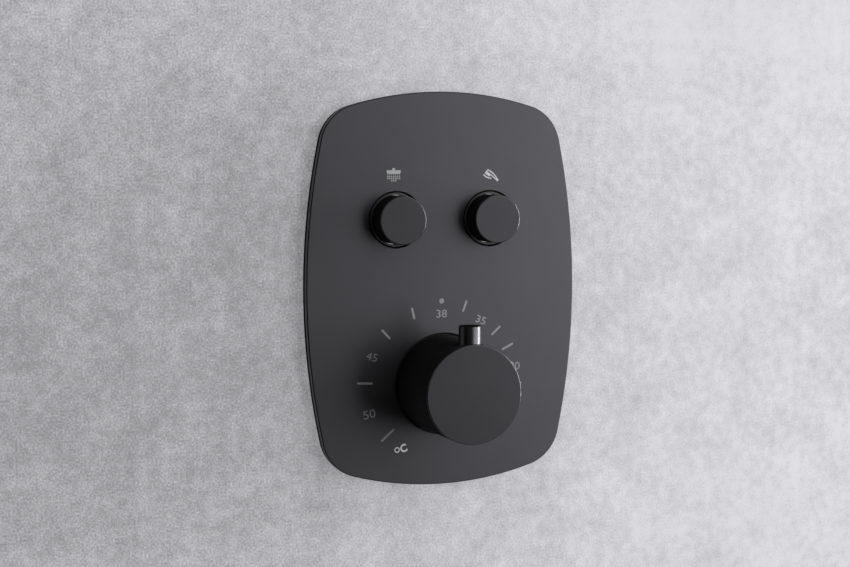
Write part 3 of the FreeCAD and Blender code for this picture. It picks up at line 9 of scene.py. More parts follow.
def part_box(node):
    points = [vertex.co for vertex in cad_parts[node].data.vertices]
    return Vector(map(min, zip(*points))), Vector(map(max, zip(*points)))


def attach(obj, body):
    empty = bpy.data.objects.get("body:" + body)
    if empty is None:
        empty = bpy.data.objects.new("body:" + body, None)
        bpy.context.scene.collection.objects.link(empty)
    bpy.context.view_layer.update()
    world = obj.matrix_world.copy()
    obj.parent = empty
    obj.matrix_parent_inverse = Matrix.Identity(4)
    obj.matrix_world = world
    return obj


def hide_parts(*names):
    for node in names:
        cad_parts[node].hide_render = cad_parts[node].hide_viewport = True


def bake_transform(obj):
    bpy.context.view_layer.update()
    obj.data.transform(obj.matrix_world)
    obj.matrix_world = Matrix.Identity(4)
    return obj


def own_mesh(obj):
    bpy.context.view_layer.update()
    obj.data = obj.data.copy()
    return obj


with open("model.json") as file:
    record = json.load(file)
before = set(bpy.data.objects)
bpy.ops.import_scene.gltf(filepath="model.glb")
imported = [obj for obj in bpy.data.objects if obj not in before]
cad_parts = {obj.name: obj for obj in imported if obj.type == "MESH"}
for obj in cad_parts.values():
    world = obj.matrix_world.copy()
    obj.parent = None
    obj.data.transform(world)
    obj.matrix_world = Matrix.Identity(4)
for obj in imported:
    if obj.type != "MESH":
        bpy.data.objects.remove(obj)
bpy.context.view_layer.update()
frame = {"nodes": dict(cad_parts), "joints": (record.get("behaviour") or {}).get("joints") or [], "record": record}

# Looks of a concealed thermostatic shower valve. Metres, in the frame of the CAD: X to the right,
# Y into the wall, Z up, with the finished wall at Y = 0.

MM = 0.001
NODES = frame["nodes"]
JOINTS = {joint["name"]: joint for joint in frame["joints"]}
KNOB_AXIS = Vector(JOINTS["knob_turn"]["pos_m"])
PLATE_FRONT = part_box("faceplate")[0].y


# ---------------------------------------------------------------- material helpers


class Finish:
    """A node material under construction: one Principled shader and what feeds it."""

    def __init__(self, name, colour, roughness, metallic=0.0, **settings):
        self.material = bpy.data.materials.new(name)
        self.material.use_nodes = True
        self.nodes = self.material.node_tree.nodes
        self.links = self.material.node_tree.links
        self.shader = self.nodes["Principled BSDF"]
        self.shader.inputs["Base Color"].default_value = (*colour, 1)
        self.shader.inputs["Roughness"].default_value = roughness
        self.shader.inputs["Metallic"].default_value = metallic
        for socket, value in settings.items():
            self.shader.inputs[socket.replace("_", " ")].default_value = value
        self.colour = colour
        self.roughness = roughness
        place = self.nodes.new("ShaderNodeTexCoord")
        self.place = place.outputs["Object"]
        self.normal = None

    def stretched(self, x, y, z):
        """The place on the piece, stretched so that a pattern becomes streaks or rings."""
        node = self.nodes.new("ShaderNodeMapping")
        node.inputs["Scale"].default_value = (x, y, z)
        self.links.new(self.place, node.inputs["Vector"])
        return node.outputs["Vector"]

    def noise(self, size, detail=3.0, place=None):
        """Soft noise whose features are about this size."""
        node = self.nodes.new("ShaderNodeTexNoise")
        node.inputs["Scale"].default_value = 1 / size
        node.inputs["Detail"].default_value = detail
        self.links.new(place or self.place, node.inputs["Vector"])
        return node.outputs["Fac"]

    def grains(self, size):
        """Cells of about this size, as distance from their centres."""
        node = self.nodes.new("ShaderNodeTexVoronoi")
        node.inputs["Scale"].default_value = 1 / size
        self.links.new(self.place, node.inputs["Vector"])
        return node.outputs["Distance"]

    def ranged(self, source, low, high, start=0.3, end=0.7):
        """The source stretched to run from low to high."""
        node = self.nodes.new("ShaderNodeMapRange")
        node.inputs["From Min"].default_value = start
        node.inputs["From Max"].default_value = end
        node.inputs["To Min"].default_value = low
        node.inputs["To Max"].default_value = high
        self.links.new(source, node.inputs["Value"])
        return node.outputs["Result"]

    def centred(self, source, weight):
        """The source less its middle value, times the weight, which may be a source as well."""
        node = self.nodes.new("ShaderNodeMath")
        node.operation = "SUBTRACT"
        node.inputs[1].default_value = 0.5
        self.links.new(source, node.inputs[0])
        scale = self.nodes.new("ShaderNodeMath")
        scale.operation = "MULTIPLY"
        self.links.new(node.outputs[0], scale.inputs[0])
        if isinstance(weight, float):
            scale.inputs[1].default_value = weight
        else:
            self.links.new(weight, scale.inputs[1])
        return scale.outputs[0]

    def added(self, *sources):
        """The sum of these sources."""
        total = sources[0]
        for source in sources[1:]:
            node = self.nodes.new("ShaderNodeMath")
            self.links.new(total, node.inputs[0])
            self.links.new(source, node.inputs[1])
            total = node.outputs[0]
        return total

    def vary_roughness(self, source, spread):
        """Let the roughness follow the source, by up to this much each way."""
        low = self.roughness - spread
        high = self.roughness + spread
        self.links.new(self.ranged(source, low, high), self.shader.inputs["Roughness"])

    def mixed(self, source, first, second, start, end):
        """The first colour where the source is low, the second one where it is high."""
        node = self.nodes.new("ShaderNodeMix")
        node.data_type = "RGBA"
        node.inputs["A"].default_value = (*first, 1)
        node.inputs["B"].default_value = (*second, 1)
        self.links.new(self.ranged(source, 0, 1, start, end), node.inputs["Factor"])
        return node.outputs["Result"]

    def vary_colour(self, source, other, start=0.35, end=0.65):
        """Mix the base colour with another one where the source is high."""
        colour = self.mixed(source, self.colour, other, start, end)
        self.links.new(colour, self.shader.inputs["Base Color"])

    def bump(self, source, height):
        """Relief of this height, in metres, on top of any relief before it."""
        node = self.nodes.new("ShaderNodeBump")
        node.inputs["Distance"].default_value = height
        self.links.new(source, node.inputs["Height"])
        if self.normal:
            self.links.new(self.normal, node.inputs["Normal"])
        self.normal = node.outputs["Normal"]
        self.links.new(self.normal, self.shader.inputs["Normal"])


def satin_black(name, colour, other, roughness, gloss):
    """Black electro-coat on metal: a faint orange peel and slightly uneven sheen."""
    finish = Finish(
        name, colour, roughness, Specular_IOR_Level=gloss, Specular_Tint=(0.97, 0.955, 1.06, 1),
    )
    finish.vary_roughness(finish.noise(6 * MM, detail=4), spread=0.02)
    finish.vary_colour(finish.noise(25 * MM, detail=2), other)
    finish.bump(finish.noise(0.35 * MM, detail=2), 0.004 * MM)
    finish.bump(finish.noise(1.6 * MM, detail=2), 0.006 * MM)
    return finish.material


def black_chrome():
    """Dark satin plating, brushed round the pin."""
    finish = Finish("black_chrome_plate", (0.08, 0.08, 0.084), roughness=0.38, metallic=1.0)
    finish.vary_roughness(finish.noise(1.5 * MM, detail=4), spread=0.02)
    finish.vary_colour(finish.noise(4 * MM, detail=2), (0.09, 0.09, 0.094))
    rings = finish.noise(0.4 * MM, detail=2, place=finish.stretched(0.1, 0.1, 1))
    finish.bump(rings, 0.0003 * MM)
    return finish.material


def cast_brass():
    """Sand-cast and shot-blasted brass: grainy, with darker patches."""
    finish = Finish("cast_brass", (0.52, 0.36, 0.15), roughness=0.48, metallic=1.0)
    finish.vary_roughness(finish.noise(3 * MM, detail=5), spread=0.1)
    finish.vary_colour(finish.noise(9 * MM, detail=6), (0.4, 0.27, 0.115))
    finish.bump(finish.grains(0.7 * MM), 0.05 * MM)
    finish.bump(finish.noise(2.5 * MM, detail=4), 0.05 * MM)
    return finish.material


def turned_brass():
    """Bright brass off the lathe, with fine tool marks."""
    finish = Finish("turned_brass", (0.72, 0.52, 0.24), roughness=0.24, metallic=1.0)
    finish.vary_roughness(finish.noise(2 * MM, detail=4), spread=0.06)
    finish.vary_colour(finish.noise(8 * MM, detail=3), (0.62, 0.43, 0.2))
    finish.bump(finish.noise(0.22 * MM, detail=2), 0.004 * MM)
    return finish.material


def metal(name, colour, other, roughness, grain, relief):
    """Plated, drawn or rolled metal with a fine uneven surface."""
    finish = Finish(name, colour, roughness, metallic=1.0)
    finish.vary_roughness(finish.noise(3 * MM, detail=5), spread=roughness / 4)
    finish.vary_colour(finish.noise(7 * MM, detail=4), other)
    finish.bump(finish.noise(grain, detail=3), relief)
    return finish.material


def brushed_sheet(name, colour, other, roughness):
    """Rolled sheet with streaks along its length."""
    finish = Finish(name, colour, roughness, metallic=1.0)
    streaks = finish.noise(0.4 * MM, detail=3, place=finish.stretched(1, 1, 0.03))
    finish.vary_roughness(streaks, spread=0.07)
    finish.vary_colour(finish.noise(14 * MM, detail=4), other)
    finish.bump(streaks, 0.006 * MM)
    return finish.material


def plastic(name, colour, other, roughness):
    """Moulded plastic with a fine eroded texture."""
    finish = Finish(name, colour, roughness)
    finish.vary_roughness(finish.noise(2 * MM, detail=4), spread=0.06)
    finish.vary_colour(finish.noise(6 * MM, detail=3), other)
    finish.bump(finish.noise(0.3 * MM, detail=3), 0.008 * MM)
    return finish.material


def black_rubber():
    """Moulded rubber with an uneven sheen."""
    finish = Finish("black_rubber", (0.018, 0.018, 0.018), roughness=0.62)
    finish.vary_roughness(finish.noise(1.2 * MM, detail=4), spread=0.1)
    finish.vary_colour(finish.noise(3 * MM, detail=3), (0.03, 0.03, 0.029))
    finish.bump(finish.noise(0.2 * MM, detail=3), 0.01 * MM)
    return finish.material


def black_foam():
    """Dull foam with open cells."""
    finish = Finish("black_foam", (0.004, 0.004, 0.004), roughness=0.95, Specular_IOR_Level=0.05)
    finish.vary_roughness(finish.noise(1 * MM, detail=3), spread=0.04)
    finish.vary_colour(finish.grains(0.6 * MM), (0.009, 0.009, 0.009), start=0.1, end=0.6)
    finish.bump(finish.grains(0.6 * MM), 0.08 * MM)
    return finish.material


def ink(name, colour, other):
    """Pad-printed ink, a little uneven."""
    finish = Finish(name, colour, roughness=0.55)
    finish.vary_roughness(finish.noise(0.8 * MM, detail=3), spread=0.08)
    finish.vary_colour(finish.noise(0.5 * MM, detail=3), other)
    finish.bump(finish.noise(0.15 * MM, detail=2), 0.003 * MM)
    return finish.material


MATERIALS = {
    "satin_black": satin_black(
        "satin_black_coat", (0.012, 0.0122, 0.013), (0.015, 0.0153, 0.0163),
        roughness=0.4, gloss=0.42,
    ),
    "black_chrome": black_chrome(),
    "cast_brass": cast_brass(),
    "turned_brass": turned_brass(),
    "nickel_brass": metal(
        "nickel_plate", (0.6, 0.57, 0.5), (0.5, 0.47, 0.4),
        roughness=0.22, grain=0.4 * MM, relief=0.004 * MM,
    ),
    "copper": metal(
        "drawn_copper", (0.72, 0.34, 0.2), (0.58, 0.25, 0.15),
        roughness=0.3, grain=0.5 * MM, relief=0.006 * MM,
    ),
    "steel_spring": metal(
        "spring_wire", (0.5, 0.5, 0.51), (0.4, 0.4, 0.42),
        roughness=0.26, grain=0.2 * MM, relief=0.004 * MM,
    ),
    "stainless": brushed_sheet(
        "stainless_sheet", (0.56, 0.56, 0.57), (0.5, 0.5, 0.5), roughness=0.3,
    ),
    "zinc_steel": brushed_sheet(
        "zinc_plated_sheet", (0.58, 0.6, 0.63), (0.5, 0.53, 0.58), roughness=0.34,
    ),
    "black_rubber": black_rubber(),
    "black_foam": black_foam(),
    "black_plastic": plastic(
        "black_acetal", (0.022, 0.022, 0.023), (0.03, 0.03, 0.031), roughness=0.5,
    ),
    "white_plastic": plastic(
        "white_acetal", (0.74, 0.73, 0.69), (0.66, 0.65, 0.6), roughness=0.4,
    ),
    "grey_plastic": plastic(
        "grey_polymer", (0.2, 0.21, 0.225), (0.15, 0.16, 0.17), roughness=0.46,
    ),
    "blue_plastic": plastic(
        "blue_acetal", (0.03, 0.09, 0.33), (0.025, 0.07, 0.25), roughness=0.38,
    ),
    "red_plastic": plastic(
        "red_acetal", (0.42, 0.025, 0.02), (0.32, 0.02, 0.016), roughness=0.38,
    ),
}
PLATE_COAT = satin_black(
    "plate_coat", (0.022, 0.0223, 0.024), (0.026, 0.0263, 0.0282), roughness=0.42, gloss=0.58,
)
# painted shade: a darker copy of the plate's coat for its rounded front edge and its sides, which draws them as a
# dark line
PLATE_EDGE_SHADE = satin_black(
    "plate_edge_painted_shade", (0.006, 0.006, 0.0065), (0.008, 0.008, 0.0085), roughness=0.3, gloss=0.2,
)
CONTROL_EDGE = satin_black(
    "control_edge_coat", (0.012, 0.0122, 0.013), (0.015, 0.0153, 0.0163),
    roughness=0.22, gloss=0.55,
)
# painted shade: a copy of the controls' coat without any reflection, for the sides of the knob and buttons, which
# keeps them dark as if in shade
CONTROL_SIDE_SHADE = satin_black(
    "control_side_painted_shade", (0.022, 0.0222, 0.0235), (0.026, 0.0263, 0.0278),
    roughness=0.6, gloss=0.0,
)
# painted shade: a dark copy of the coat without reflection, for the rounded top of the pin, where the plating
# would mirror the grey plate
PIN_TOP_SHADE = satin_black(
    "pin_top_painted_shade", (0.008, 0.008, 0.0085), (0.01, 0.01, 0.0105), roughness=0.5, gloss=0.0,
)
DIAL_PRINT = ink("dial_print", (0.3, 0.305, 0.31), (0.24, 0.245, 0.25))
SIGN_PRINT = ink("sign_print", (0.48, 0.485, 0.49), (0.4, 0.405, 0.41))
HAND_PRINT = ink("hand_print", (0.66, 0.665, 0.67), (0.56, 0.565, 0.57))
DEGREE_PRINT = ink("degree_print", (0.88, 0.885, 0.89), (0.8, 0.805, 0.81))

for row in frame["record"]["subparts"]:
    mesh = NODES[row["node"]].data
    mesh.materials.clear()
    mesh.materials.append(MATERIALS[row["material_slot"]])
NODES["faceplate"].data.materials[0] = PLATE_COAT

# how deep the rounding of a front edge and the rounded top of the pin reach
EDGE_DEPTH = 0.55 * MM
PIN_TOP_DEPTH = 0.3 * MM
# by its normal, a face is a side below the first, a front above the second, a top above the third
SIDE_NORMAL = 0.02
FRONT_NORMAL = 0.995
TOP_NORMAL = 0.3


def coat_faces(name, material, chosen):
    """Give the chosen faces of a piece a finish of their own."""
    mesh = NODES[name].data
    mesh.materials.append(material)
    for face in mesh.polygons:
        if chosen(face):
            face.material_index = len(mesh.materials) - 1


def on_front_edge(name):
    """Faces of the rounding between the front of a piece and its sides."""
    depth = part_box(name)[0].y + EDGE_DEPTH
    return lambda face: (
        face.center.y < depth and -FRONT_NORMAL < face.normal.y < -SIDE_NORMAL
    )


def on_side(face):
    """Whether a face stands square to the front."""
    return abs(face.normal.y) < SIDE_NORMAL


def on_top(name):
    """Faces of the rounded upper end of a piece."""
    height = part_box(name)[1].z - PIN_TOP_DEPTH
    return lambda face: face.center.z > height and face.normal.z > TOP_NORMAL


# painted shade: the plate's rounded front edge and its sides take the darker copy of its coat
coat_faces("faceplate", PLATE_EDGE_SHADE, on_front_edge("faceplate"))
coat_faces("faceplate", PLATE_EDGE_SHADE, on_side)
# painted shade: the sides of the knob and buttons take the copy of their coat without reflection
for name in ("temperature_knob", "left_button", "right_button"):
    coat_faces(name, CONTROL_SIDE_SHADE, on_side)
    coat_faces(name, CONTROL_EDGE, on_front_edge(name))
# painted shade: the rounded top of the pin takes the dark matt copy of the coat
coat_faces("safety_pin", PIN_TOP_SHADE, on_top("safety_pin"))


# ---------------------------------------------------------------- printed dial and signs

PRINT_THICKNESS = 0.03 * MM
PRINT_LAYER = 0.001 * MM
TICK_WIDTH = 1.0 * MM
LETTER_STRETCH = 1.12
LETTER_STEPS = 6

# the print stands a little to the left of the knob's axis
DIAL_SHIFT = Vector((-0.5, 0)) * MM

# each mark's middle by its distance from the dial's middle, mm, and its angle from the top,
# clockwise; then its length, mm, and how far it leans clockwise
TICKS = (
    (35.8, -23.5, 5.5, -13.5),
    (36.3, -49.0, 5.9, -42.5),
    (37.5, -87.1, 7.5, -87.0),
    (34.9, -130.0, 8.3, -130.0),
    (37.0, 17.2, 5.7, 20.5),
    (35.3, 48.4, 6.0, 48.4),
    (35.9, 64.0, 6.4, 64.0),
    (36.7, 92.3, 5.4, 92.3),
    (34.9, 130.0, 7.8, 130.0),
)
DOT_RADIUS = 1.2 * MM
DOT = (38.1, -0.6)

# text, distance and angle of its middle as above, lean, height in mm, weight of its strokes
NUMBERS = (
    ("38", 32.3, -0.7, 0.0, 3.6, 0.008),
    ("35", 34.4, 33.4, 20.0, 3.6, 0.012),
    ("30", 36.5, 79.5, 5.0, 3.6, 0.008),
    ("20", 36.3, 110.0, 10.0, 3.6, 0.008),
    ("45", 36.8, -68.0, 15.0, 3.5, -0.012),
    ("50", 37.5, -109.1, -10.0, 3.9, 0.005),
)
# the degree sign: distance and angle of the small ring and of the letter after it
DEGREE_RING = (36.9, -143.0)
DEGREE_RING_RADIUS = 1.05 * MM
DEGREE_RING_STROKE = 0.5 * MM
DEGREE_LETTER = ("C", 34.6, -146.5, -20.0, 3.8, 0.03)
DEGREE_LETTER_STRETCH = 0.95

# the two signs stand above the buttons, each drawn about its own middle
RAIN_SIGN = Vector((-23.9, 52.6)) * MM
HAND_SIGN = Vector((23.35, 52.05)) * MM

# all shapes of the signs are in mm; here left, right, bottom and top of the stem and of the two
# parts of the head
RAIN_HEAD = ((-0.65, 0.65, 1.9, 2.95), (-3.35, 3.35, 0.95, 2.0), (-3.1, 3.1, 0.3, 0.95))
RAIN_COLUMNS = 7
RAIN_PITCH = 0.95
# height of each row of drops, how many columns it has and how long a drop is
RAIN_ROWS = ((-0.8, RAIN_COLUMNS, 0.66), (-1.72, RAIN_COLUMNS, 0.74), (-2.68, 3, 0.8))
RAIN_DROP_WIDTH = 0.6
RAIN_STREAK_WIDTH = 0.16
RAIN_STREAK_BOTTOM = -2
RAIN_STREAK_TOP = 0.3

# an arc is given by its start, its end, its bulge and its width
HAND_BACK = ((-1.55, 2.45), (3.25, -2.05), 0.6, 0.62)
HAND_FRONT = ((-1.8, 1.3), (3.1, -2.35), 0.12, 0.56)
HAND_HEAD = (
    (-1.5, 2.75), (-2.6, 1.9), (-3.15, 0.75), (-1.9, 0.2), (-0.9, -0.75), (-0.2, 0.1), (-1.9, 1.6),
)
HANDLE_END = (3.15, -2.15)
HANDLE_END_RADIUS = 0.6
SPRAY = ((-3.55, 0.22), (-0.8, -1.28), -0.28, 0.62)
SPRAY_END = (-0.15, -1.38)
SPRAY_END_RADIUS = 0.36


def on_dial(distance, angle):
    """A place on the plate by its distance in mm and its clockwise angle from the dial's top."""
    turn = math.radians(angle)
    return KNOB_AXIS.xz + DIAL_SHIFT + Vector((math.sin(turn), math.cos(turn))) * distance * MM


def printed(name, outlines, colour):
    """Thin flat shapes on the plate, each outline a list of (x, z) points anticlockwise."""
    form = bmesh.new()
    for layer, outline in enumerate(outlines):
        level = PLATE_FRONT - PRINT_THICKNESS - layer * PRINT_LAYER
        front = [form.verts.new((x, level, z)) for x, z in outline]
        back = [form.verts.new((x, PLATE_FRONT + PRINT_THICKNESS, z)) for x, z in outline]
        form.faces.new(front)
        form.faces.new(reversed(back))
        for n in range(len(outline)):
            following = (n + 1) % len(outline)
            form.faces.new((front[following], front[n], back[n], back[following]))
    bmesh.ops.recalc_face_normals(form, faces=form.faces)
    mesh = bpy.data.meshes.new(name)
    form.to_mesh(mesh)
    form.free()
    finished_print(name, mesh, colour)


def finished_print(name, mesh, colour):
    """The print is a piece of its own that stays with the plate."""
    mesh.materials.append(colour)
    piece = bpy.data.objects.new(name, mesh)
    bpy.context.scene.collection.objects.link(piece)
    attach(piece, "valve")


def rounded_bar(middle, length, width, lean, steps=8):
    """A bar with round ends that leans clockwise from upright."""
    turn = math.radians(lean)
    along = Vector((math.sin(turn), math.cos(turn)))
    across = Vector((math.cos(turn), -math.sin(turn)))
    reach = (length - width) / 2
    points = []
    for end, start in ((1, 0), (-1, math.pi)):
        for n in range(steps + 1):
            angle = start + math.pi * n / steps
            offset = along * (end * reach + math.sin(angle) * width / 2)
            points.append(middle + offset + across * math.cos(angle) * width / 2)
    return points


def disc(middle, radius, steps=32):
    """A round dot."""
    angles = [2 * math.pi * n / steps for n in range(steps)]
    return [middle + Vector((math.cos(angle), math.sin(angle))) * radius for angle in angles]


def block(left, right, bottom, top):
    """An upright rectangle, in mm about the middle of its sign."""
    corners = ((left, bottom), (right, bottom), (right, top), (left, top))
    return [Vector(corner) * MM for corner in corners]


def arc_bar(start, end, bulge, width, steps=16):
    """A bar of even width, in mm, along an arc that bulges to the left of its way."""
    start = Vector(start)
    end = Vector(end)
    chord = end - start
    across = Vector((-chord.y, chord.x)).normalized()
    half = chord.length / 2
    radius = (half * half + bulge * bulge) / (2 * abs(bulge))
    side = math.copysign(1, bulge)
    centre = (start + end) / 2 + across * (bulge - side * radius)
    sweep = 2 * math.asin(half / radius)
    first = math.atan2(*reversed(start - centre))
    angles = [first - side * sweep * n / steps for n in range(steps + 1)]

    def rim(reach, turned):
        return [centre + Vector((math.cos(angle), math.sin(angle))) * reach for angle in turned]

    def cap(middle, angle):
        turns = [angle + side * math.pi * (0.5 - n / steps) for n in range(1, steps)]
        return [middle + Vector((math.cos(a), math.sin(a))) * width / 2 for a in turns]

    outer = rim(radius + width / 2, angles)
    inner = rim(radius - width / 2, reversed(angles))
    end_cap = cap(end, angles[-1] - side * math.pi / 2)
    start_cap = cap(start, angles[0] + side * math.pi / 2)
    return [point * MM for point in (*outer, *end_cap, *inner, *start_cap)]


def smooth_patch(corners, steps=6):
    """A closed curve through the middles of the sides of this polygon, in mm."""
    points = []
    corners = [Vector(corner) for corner in corners]
    for n, corner in enumerate(corners):
        start = (corners[n - 1] + corner) / 2
        end = (corner + corners[(n + 1) % len(corners)]) / 2
        for step in range(steps):
            share = step / steps
            first = start.lerp(corner, share)
            points.append(first.lerp(corner.lerp(end, share), share) * MM)
    return points


def moved(outlines, middle):
    """The outlines of a sign, taken to its place on the plate."""
    return [[middle + point for point in outline] for outline in outlines]


def column_places(count):
    """Where the columns of drops stand, in mm about the middle of the sign."""
    return [(n - (count - 1) / 2) * RAIN_PITCH for n in range(count)]


def make_rain_sign():
    """A ceiling head: stem, flat head and rows of drops."""
    outlines = [block(*sides) for sides in RAIN_HEAD]
    for height, columns, length in RAIN_ROWS:
        for x in column_places(columns):
            middle = Vector((x, height)) * MM
            outlines.append(rounded_bar(middle, length * MM, RAIN_DROP_WIDTH * MM, lean=0))
    half = RAIN_STREAK_WIDTH / 2
    for x in column_places(RAIN_COLUMNS):
        outlines.append(block(x - half, x + half, RAIN_STREAK_BOTTOM, RAIN_STREAK_TOP))
    printed("rain_sign", moved(outlines, RAIN_SIGN), SIGN_PRINT)


def make_hand_sign():
    """A hand shower with a slot along its handle, and the arc of its spray."""
    outlines = [
        arc_bar(*HAND_BACK),
        arc_bar(*HAND_FRONT),
        smooth_patch(HAND_HEAD),
        disc(Vector(HANDLE_END) * MM, HANDLE_END_RADIUS * MM),
        arc_bar(*SPRAY),
        disc(Vector(SPRAY_END) * MM, SPRAY_END_RADIUS * MM),
    ]
    printed("hand_shower_sign", moved(outlines, HAND_SIGN), HAND_PRINT)


def text_mesh(text, height, stretch, weight):
    """Flat text centred on its own middle, in the plane of the wall."""
    curve = bpy.data.curves.new(f"text_{text}", "FONT")
    curve.body = text
    curve.extrude = PRINT_THICKNESS
    curve.offset = weight
    curve.resolution_u = LETTER_STEPS
    helper = bpy.data.objects.new("text_helper", curve)
    bpy.context.scene.collection.objects.link(helper)
    depsgraph = bpy.context.evaluated_depsgraph_get()
    mesh = bpy.data.meshes.new_from_object(helper.evaluated_get(depsgraph))
    bpy.data.objects.remove(helper)
    xs = [vertex.co.x for vertex in mesh.vertices]
    ys = [vertex.co.y for vertex in mesh.vertices]
    scale = height / (max(ys) - min(ys))
    middle = Vector(((max(xs) + min(xs)) / 2, (max(ys) + min(ys)) / 2, 0))
    mesh.transform(Matrix.Translation(-middle))
    mesh.transform(Matrix.Diagonal((scale * stretch, scale, 1, 1)))
    mesh.transform(Matrix.Rotation(math.pi / 2, 4, "X"))
    return mesh


def print_text(row, colour, stretch):
    """A row such as those of NUMBERS, printed on the plate."""
    text, distance, angle, lean, height, weight = row
    mesh = text_mesh(text, height * MM, stretch, weight)
    middle = on_dial(distance, angle)
    mesh.transform(Matrix.Rotation(math.radians(lean), 4, "Y"))
    mesh.transform(Matrix.Translation((middle.x, PLATE_FRONT, middle.y)))
    finished_print(f"print_{text}", mesh, colour)


def ring_outlines(middle, radius, stroke, parts=24):
    """A ring as short blocks side by side."""
    outlines = []
    for n in range(parts):
        start = 2 * math.pi * n / parts
        end = 2 * math.pi * (n + 1) / parts
        ways = [Vector((math.cos(angle), math.sin(angle))) for angle in (start, end)]
        outlines.append([
            middle + ways[0] * (radius + stroke / 2),
            middle + ways[1] * (radius + stroke / 2),
            middle + ways[1] * (radius - stroke / 2),
            middle + ways[0] * (radius - stroke / 2),
        ])
    return outlines


def make_dial():
    """Ticks, dot, numbers and degree sign."""
    outlines = [
        rounded_bar(on_dial(distance, angle), length * MM, TICK_WIDTH, lean)
        for distance, angle, length, lean in TICKS
    ]
    outlines.append(disc(on_dial(*DOT), DOT_RADIUS))
    printed("dial_marks", outlines, DIAL_PRINT)
    for row in NUMBERS:
        print_text(row, DIAL_PRINT, LETTER_STRETCH)
    ring = ring_outlines(on_dial(*DEGREE_RING), DEGREE_RING_RADIUS, DEGREE_RING_STROKE)
    printed("degree_ring", ring, DEGREE_PRINT)
    print_text(DEGREE_LETTER, DEGREE_PRINT, DEGREE_LETTER_STRETCH)


make_dial()
make_rain_sign()
make_hand_sign()


# ---------------------------------------------------------------- springs


def press_spring(node):
    """The spring gets a copy of its mesh of its own and is left as it is."""
    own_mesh(NODES[node])


def stretch_spring(node):
    """A copy of the spring, with its place baked into its mesh, stands in for it, and the spring itself is hidden.
    """
    piece = bpy.data.objects.new(f"{node}_coil", NODES[node].data.copy())
    bpy.context.scene.collection.objects.link(piece)
    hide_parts(node)
    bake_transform(piece)


for joint in frame["joints"]:
    for row in joint.get("deforming_nodes", []):
        if joint["range_m"][0] < 0:
            stretch_spring(row["node"])
        else:
            press_spring(row["node"])


# ---------------------------------------------------------------- stage

# the wall and the floor are square sheets; the wall's sheet lies just behind Y = 0
SHEET_HALF = 1.5
SHEET_CORNERS = ((-1, -1), (1, -1), (1, 1), (-1, 1))
WALL_BEHIND = 0.02 * MM
FLOOR_LEVEL = -1.45
WALL_DARK = (0.33, 0.328, 0.345)
WALL_LIGHT = (0.87, 0.865, 0.9)
# colours of the wall's painted glow, from its darkest to its lightest, and the share of its brightness that glows
GLOW_DARK = (0.305, 0.303, 0.318)
GLOW_LIGHT = (0.8, 0.796, 0.83)
GLOW_SHARE = 0.6
# size of the wall's larger patches, detail and weight
WALL_PATCHES = ((5 * MM, 3, 0.6), (22 * MM, 4, 0.5), (110 * MM, 2, 0.25))


def flat_sheet(name, corners, material):
    """A flat piece of the stage, which is no part of the valve."""
    mesh = bpy.data.meshes.new(name)
    mesh.from_pydata(corners, [], [range(len(corners))])
    mesh.materials.append(material)
    piece = bpy.data.objects.new(name, mesh)
    bpy.context.scene.collection.objects.link(piece)


def wall_concrete():
    """Pale concrete with fine speckles, clear from behind so that the body in the wall can be seen.

    Part of its brightness is its own, for camera, mirror and transmission rays only, as the
    photo's wall is bright close to the plate; the rest is lit and takes the shadow.
    """
    finish = Finish("wall_concrete", WALL_DARK, roughness=0.9)
    split = finish.nodes.new("ShaderNodeSeparateXYZ")
    finish.links.new(finish.place, split.inputs["Vector"])
    # the speckles are stronger on the left
    strength = finish.ranged(split.outputs["X"], low=1.3, high=0.6, start=-0.1, end=0.15)
    mottling = finish.added(
        finish.centred(finish.noise(0.9 * MM, detail=2), strength),
        *(finish.centred(finish.noise(size, detail), weight)
          for size, detail, weight in WALL_PATCHES),
    )
    finish.vary_colour(mottling, WALL_LIGHT, start=-0.5, end=0.5)
    finish.bump(finish.noise(1.5 * MM, detail=3), 0.05 * MM)
    # painted light in the wall's glow: it gets lighter to the right, upwards, and away from the plate's height
    # both ways
    across = finish.ranged(split.outputs["X"], low=0.12, high=0.78, start=-0.07, end=0.12)
    upward = finish.ranged(split.outputs["Z"], low=0, high=0.12, start=0.02, end=0.16)
    square = finish.nodes.new("ShaderNodeMath")
    square.operation = "MULTIPLY"
    for socket in square.inputs[:2]:
        finish.links.new(split.outputs["Z"], socket)
    outward = finish.ranged(square.outputs[0], low=0.03, high=0.19, start=0.001, end=0.014)
    shade = finish.added(mottling, across, upward, outward)
    # painted light: for camera, mirror and transmission rays, part of the wall's brightness is this glow of its
    # own, which takes no shadow
    glow = finish.nodes.new("ShaderNodeEmission")
    glow_colour = finish.mixed(shade, GLOW_DARK, GLOW_LIGHT, start=0, end=1)
    finish.links.new(glow_colour, glow.inputs["Color"])
    path = finish.nodes.new("ShaderNodeLightPath").outputs
    seen = finish.added(path["Is Camera Ray"], path["Is Glossy Ray"], path["Is Transmission Ray"])
    blend = finish.nodes.new("ShaderNodeMixShader")
    share = finish.ranged(seen, low=0, high=GLOW_SHARE, start=0, end=1)
    finish.links.new(share, blend.inputs["Fac"])
    finish.links.new(finish.shader.outputs["BSDF"], blend.inputs[1])
    finish.links.new(glow.outputs["Emission"], blend.inputs[2])
    clear = finish.nodes.new("ShaderNodeBsdfTransparent")
    side = finish.nodes.new("ShaderNodeNewGeometry")
    mix = finish.nodes.new("ShaderNodeMixShader")
    output = finish.nodes["Material Output"]
    finish.links.new(side.outputs["Backfacing"], mix.inputs["Fac"])
    finish.links.new(blend.outputs["Shader"], mix.inputs[1])
    finish.links.new(clear.outputs["BSDF"], mix.inputs[2])
    finish.links.new(mix.outputs["Shader"], output.inputs["Surface"])
    return finish.material


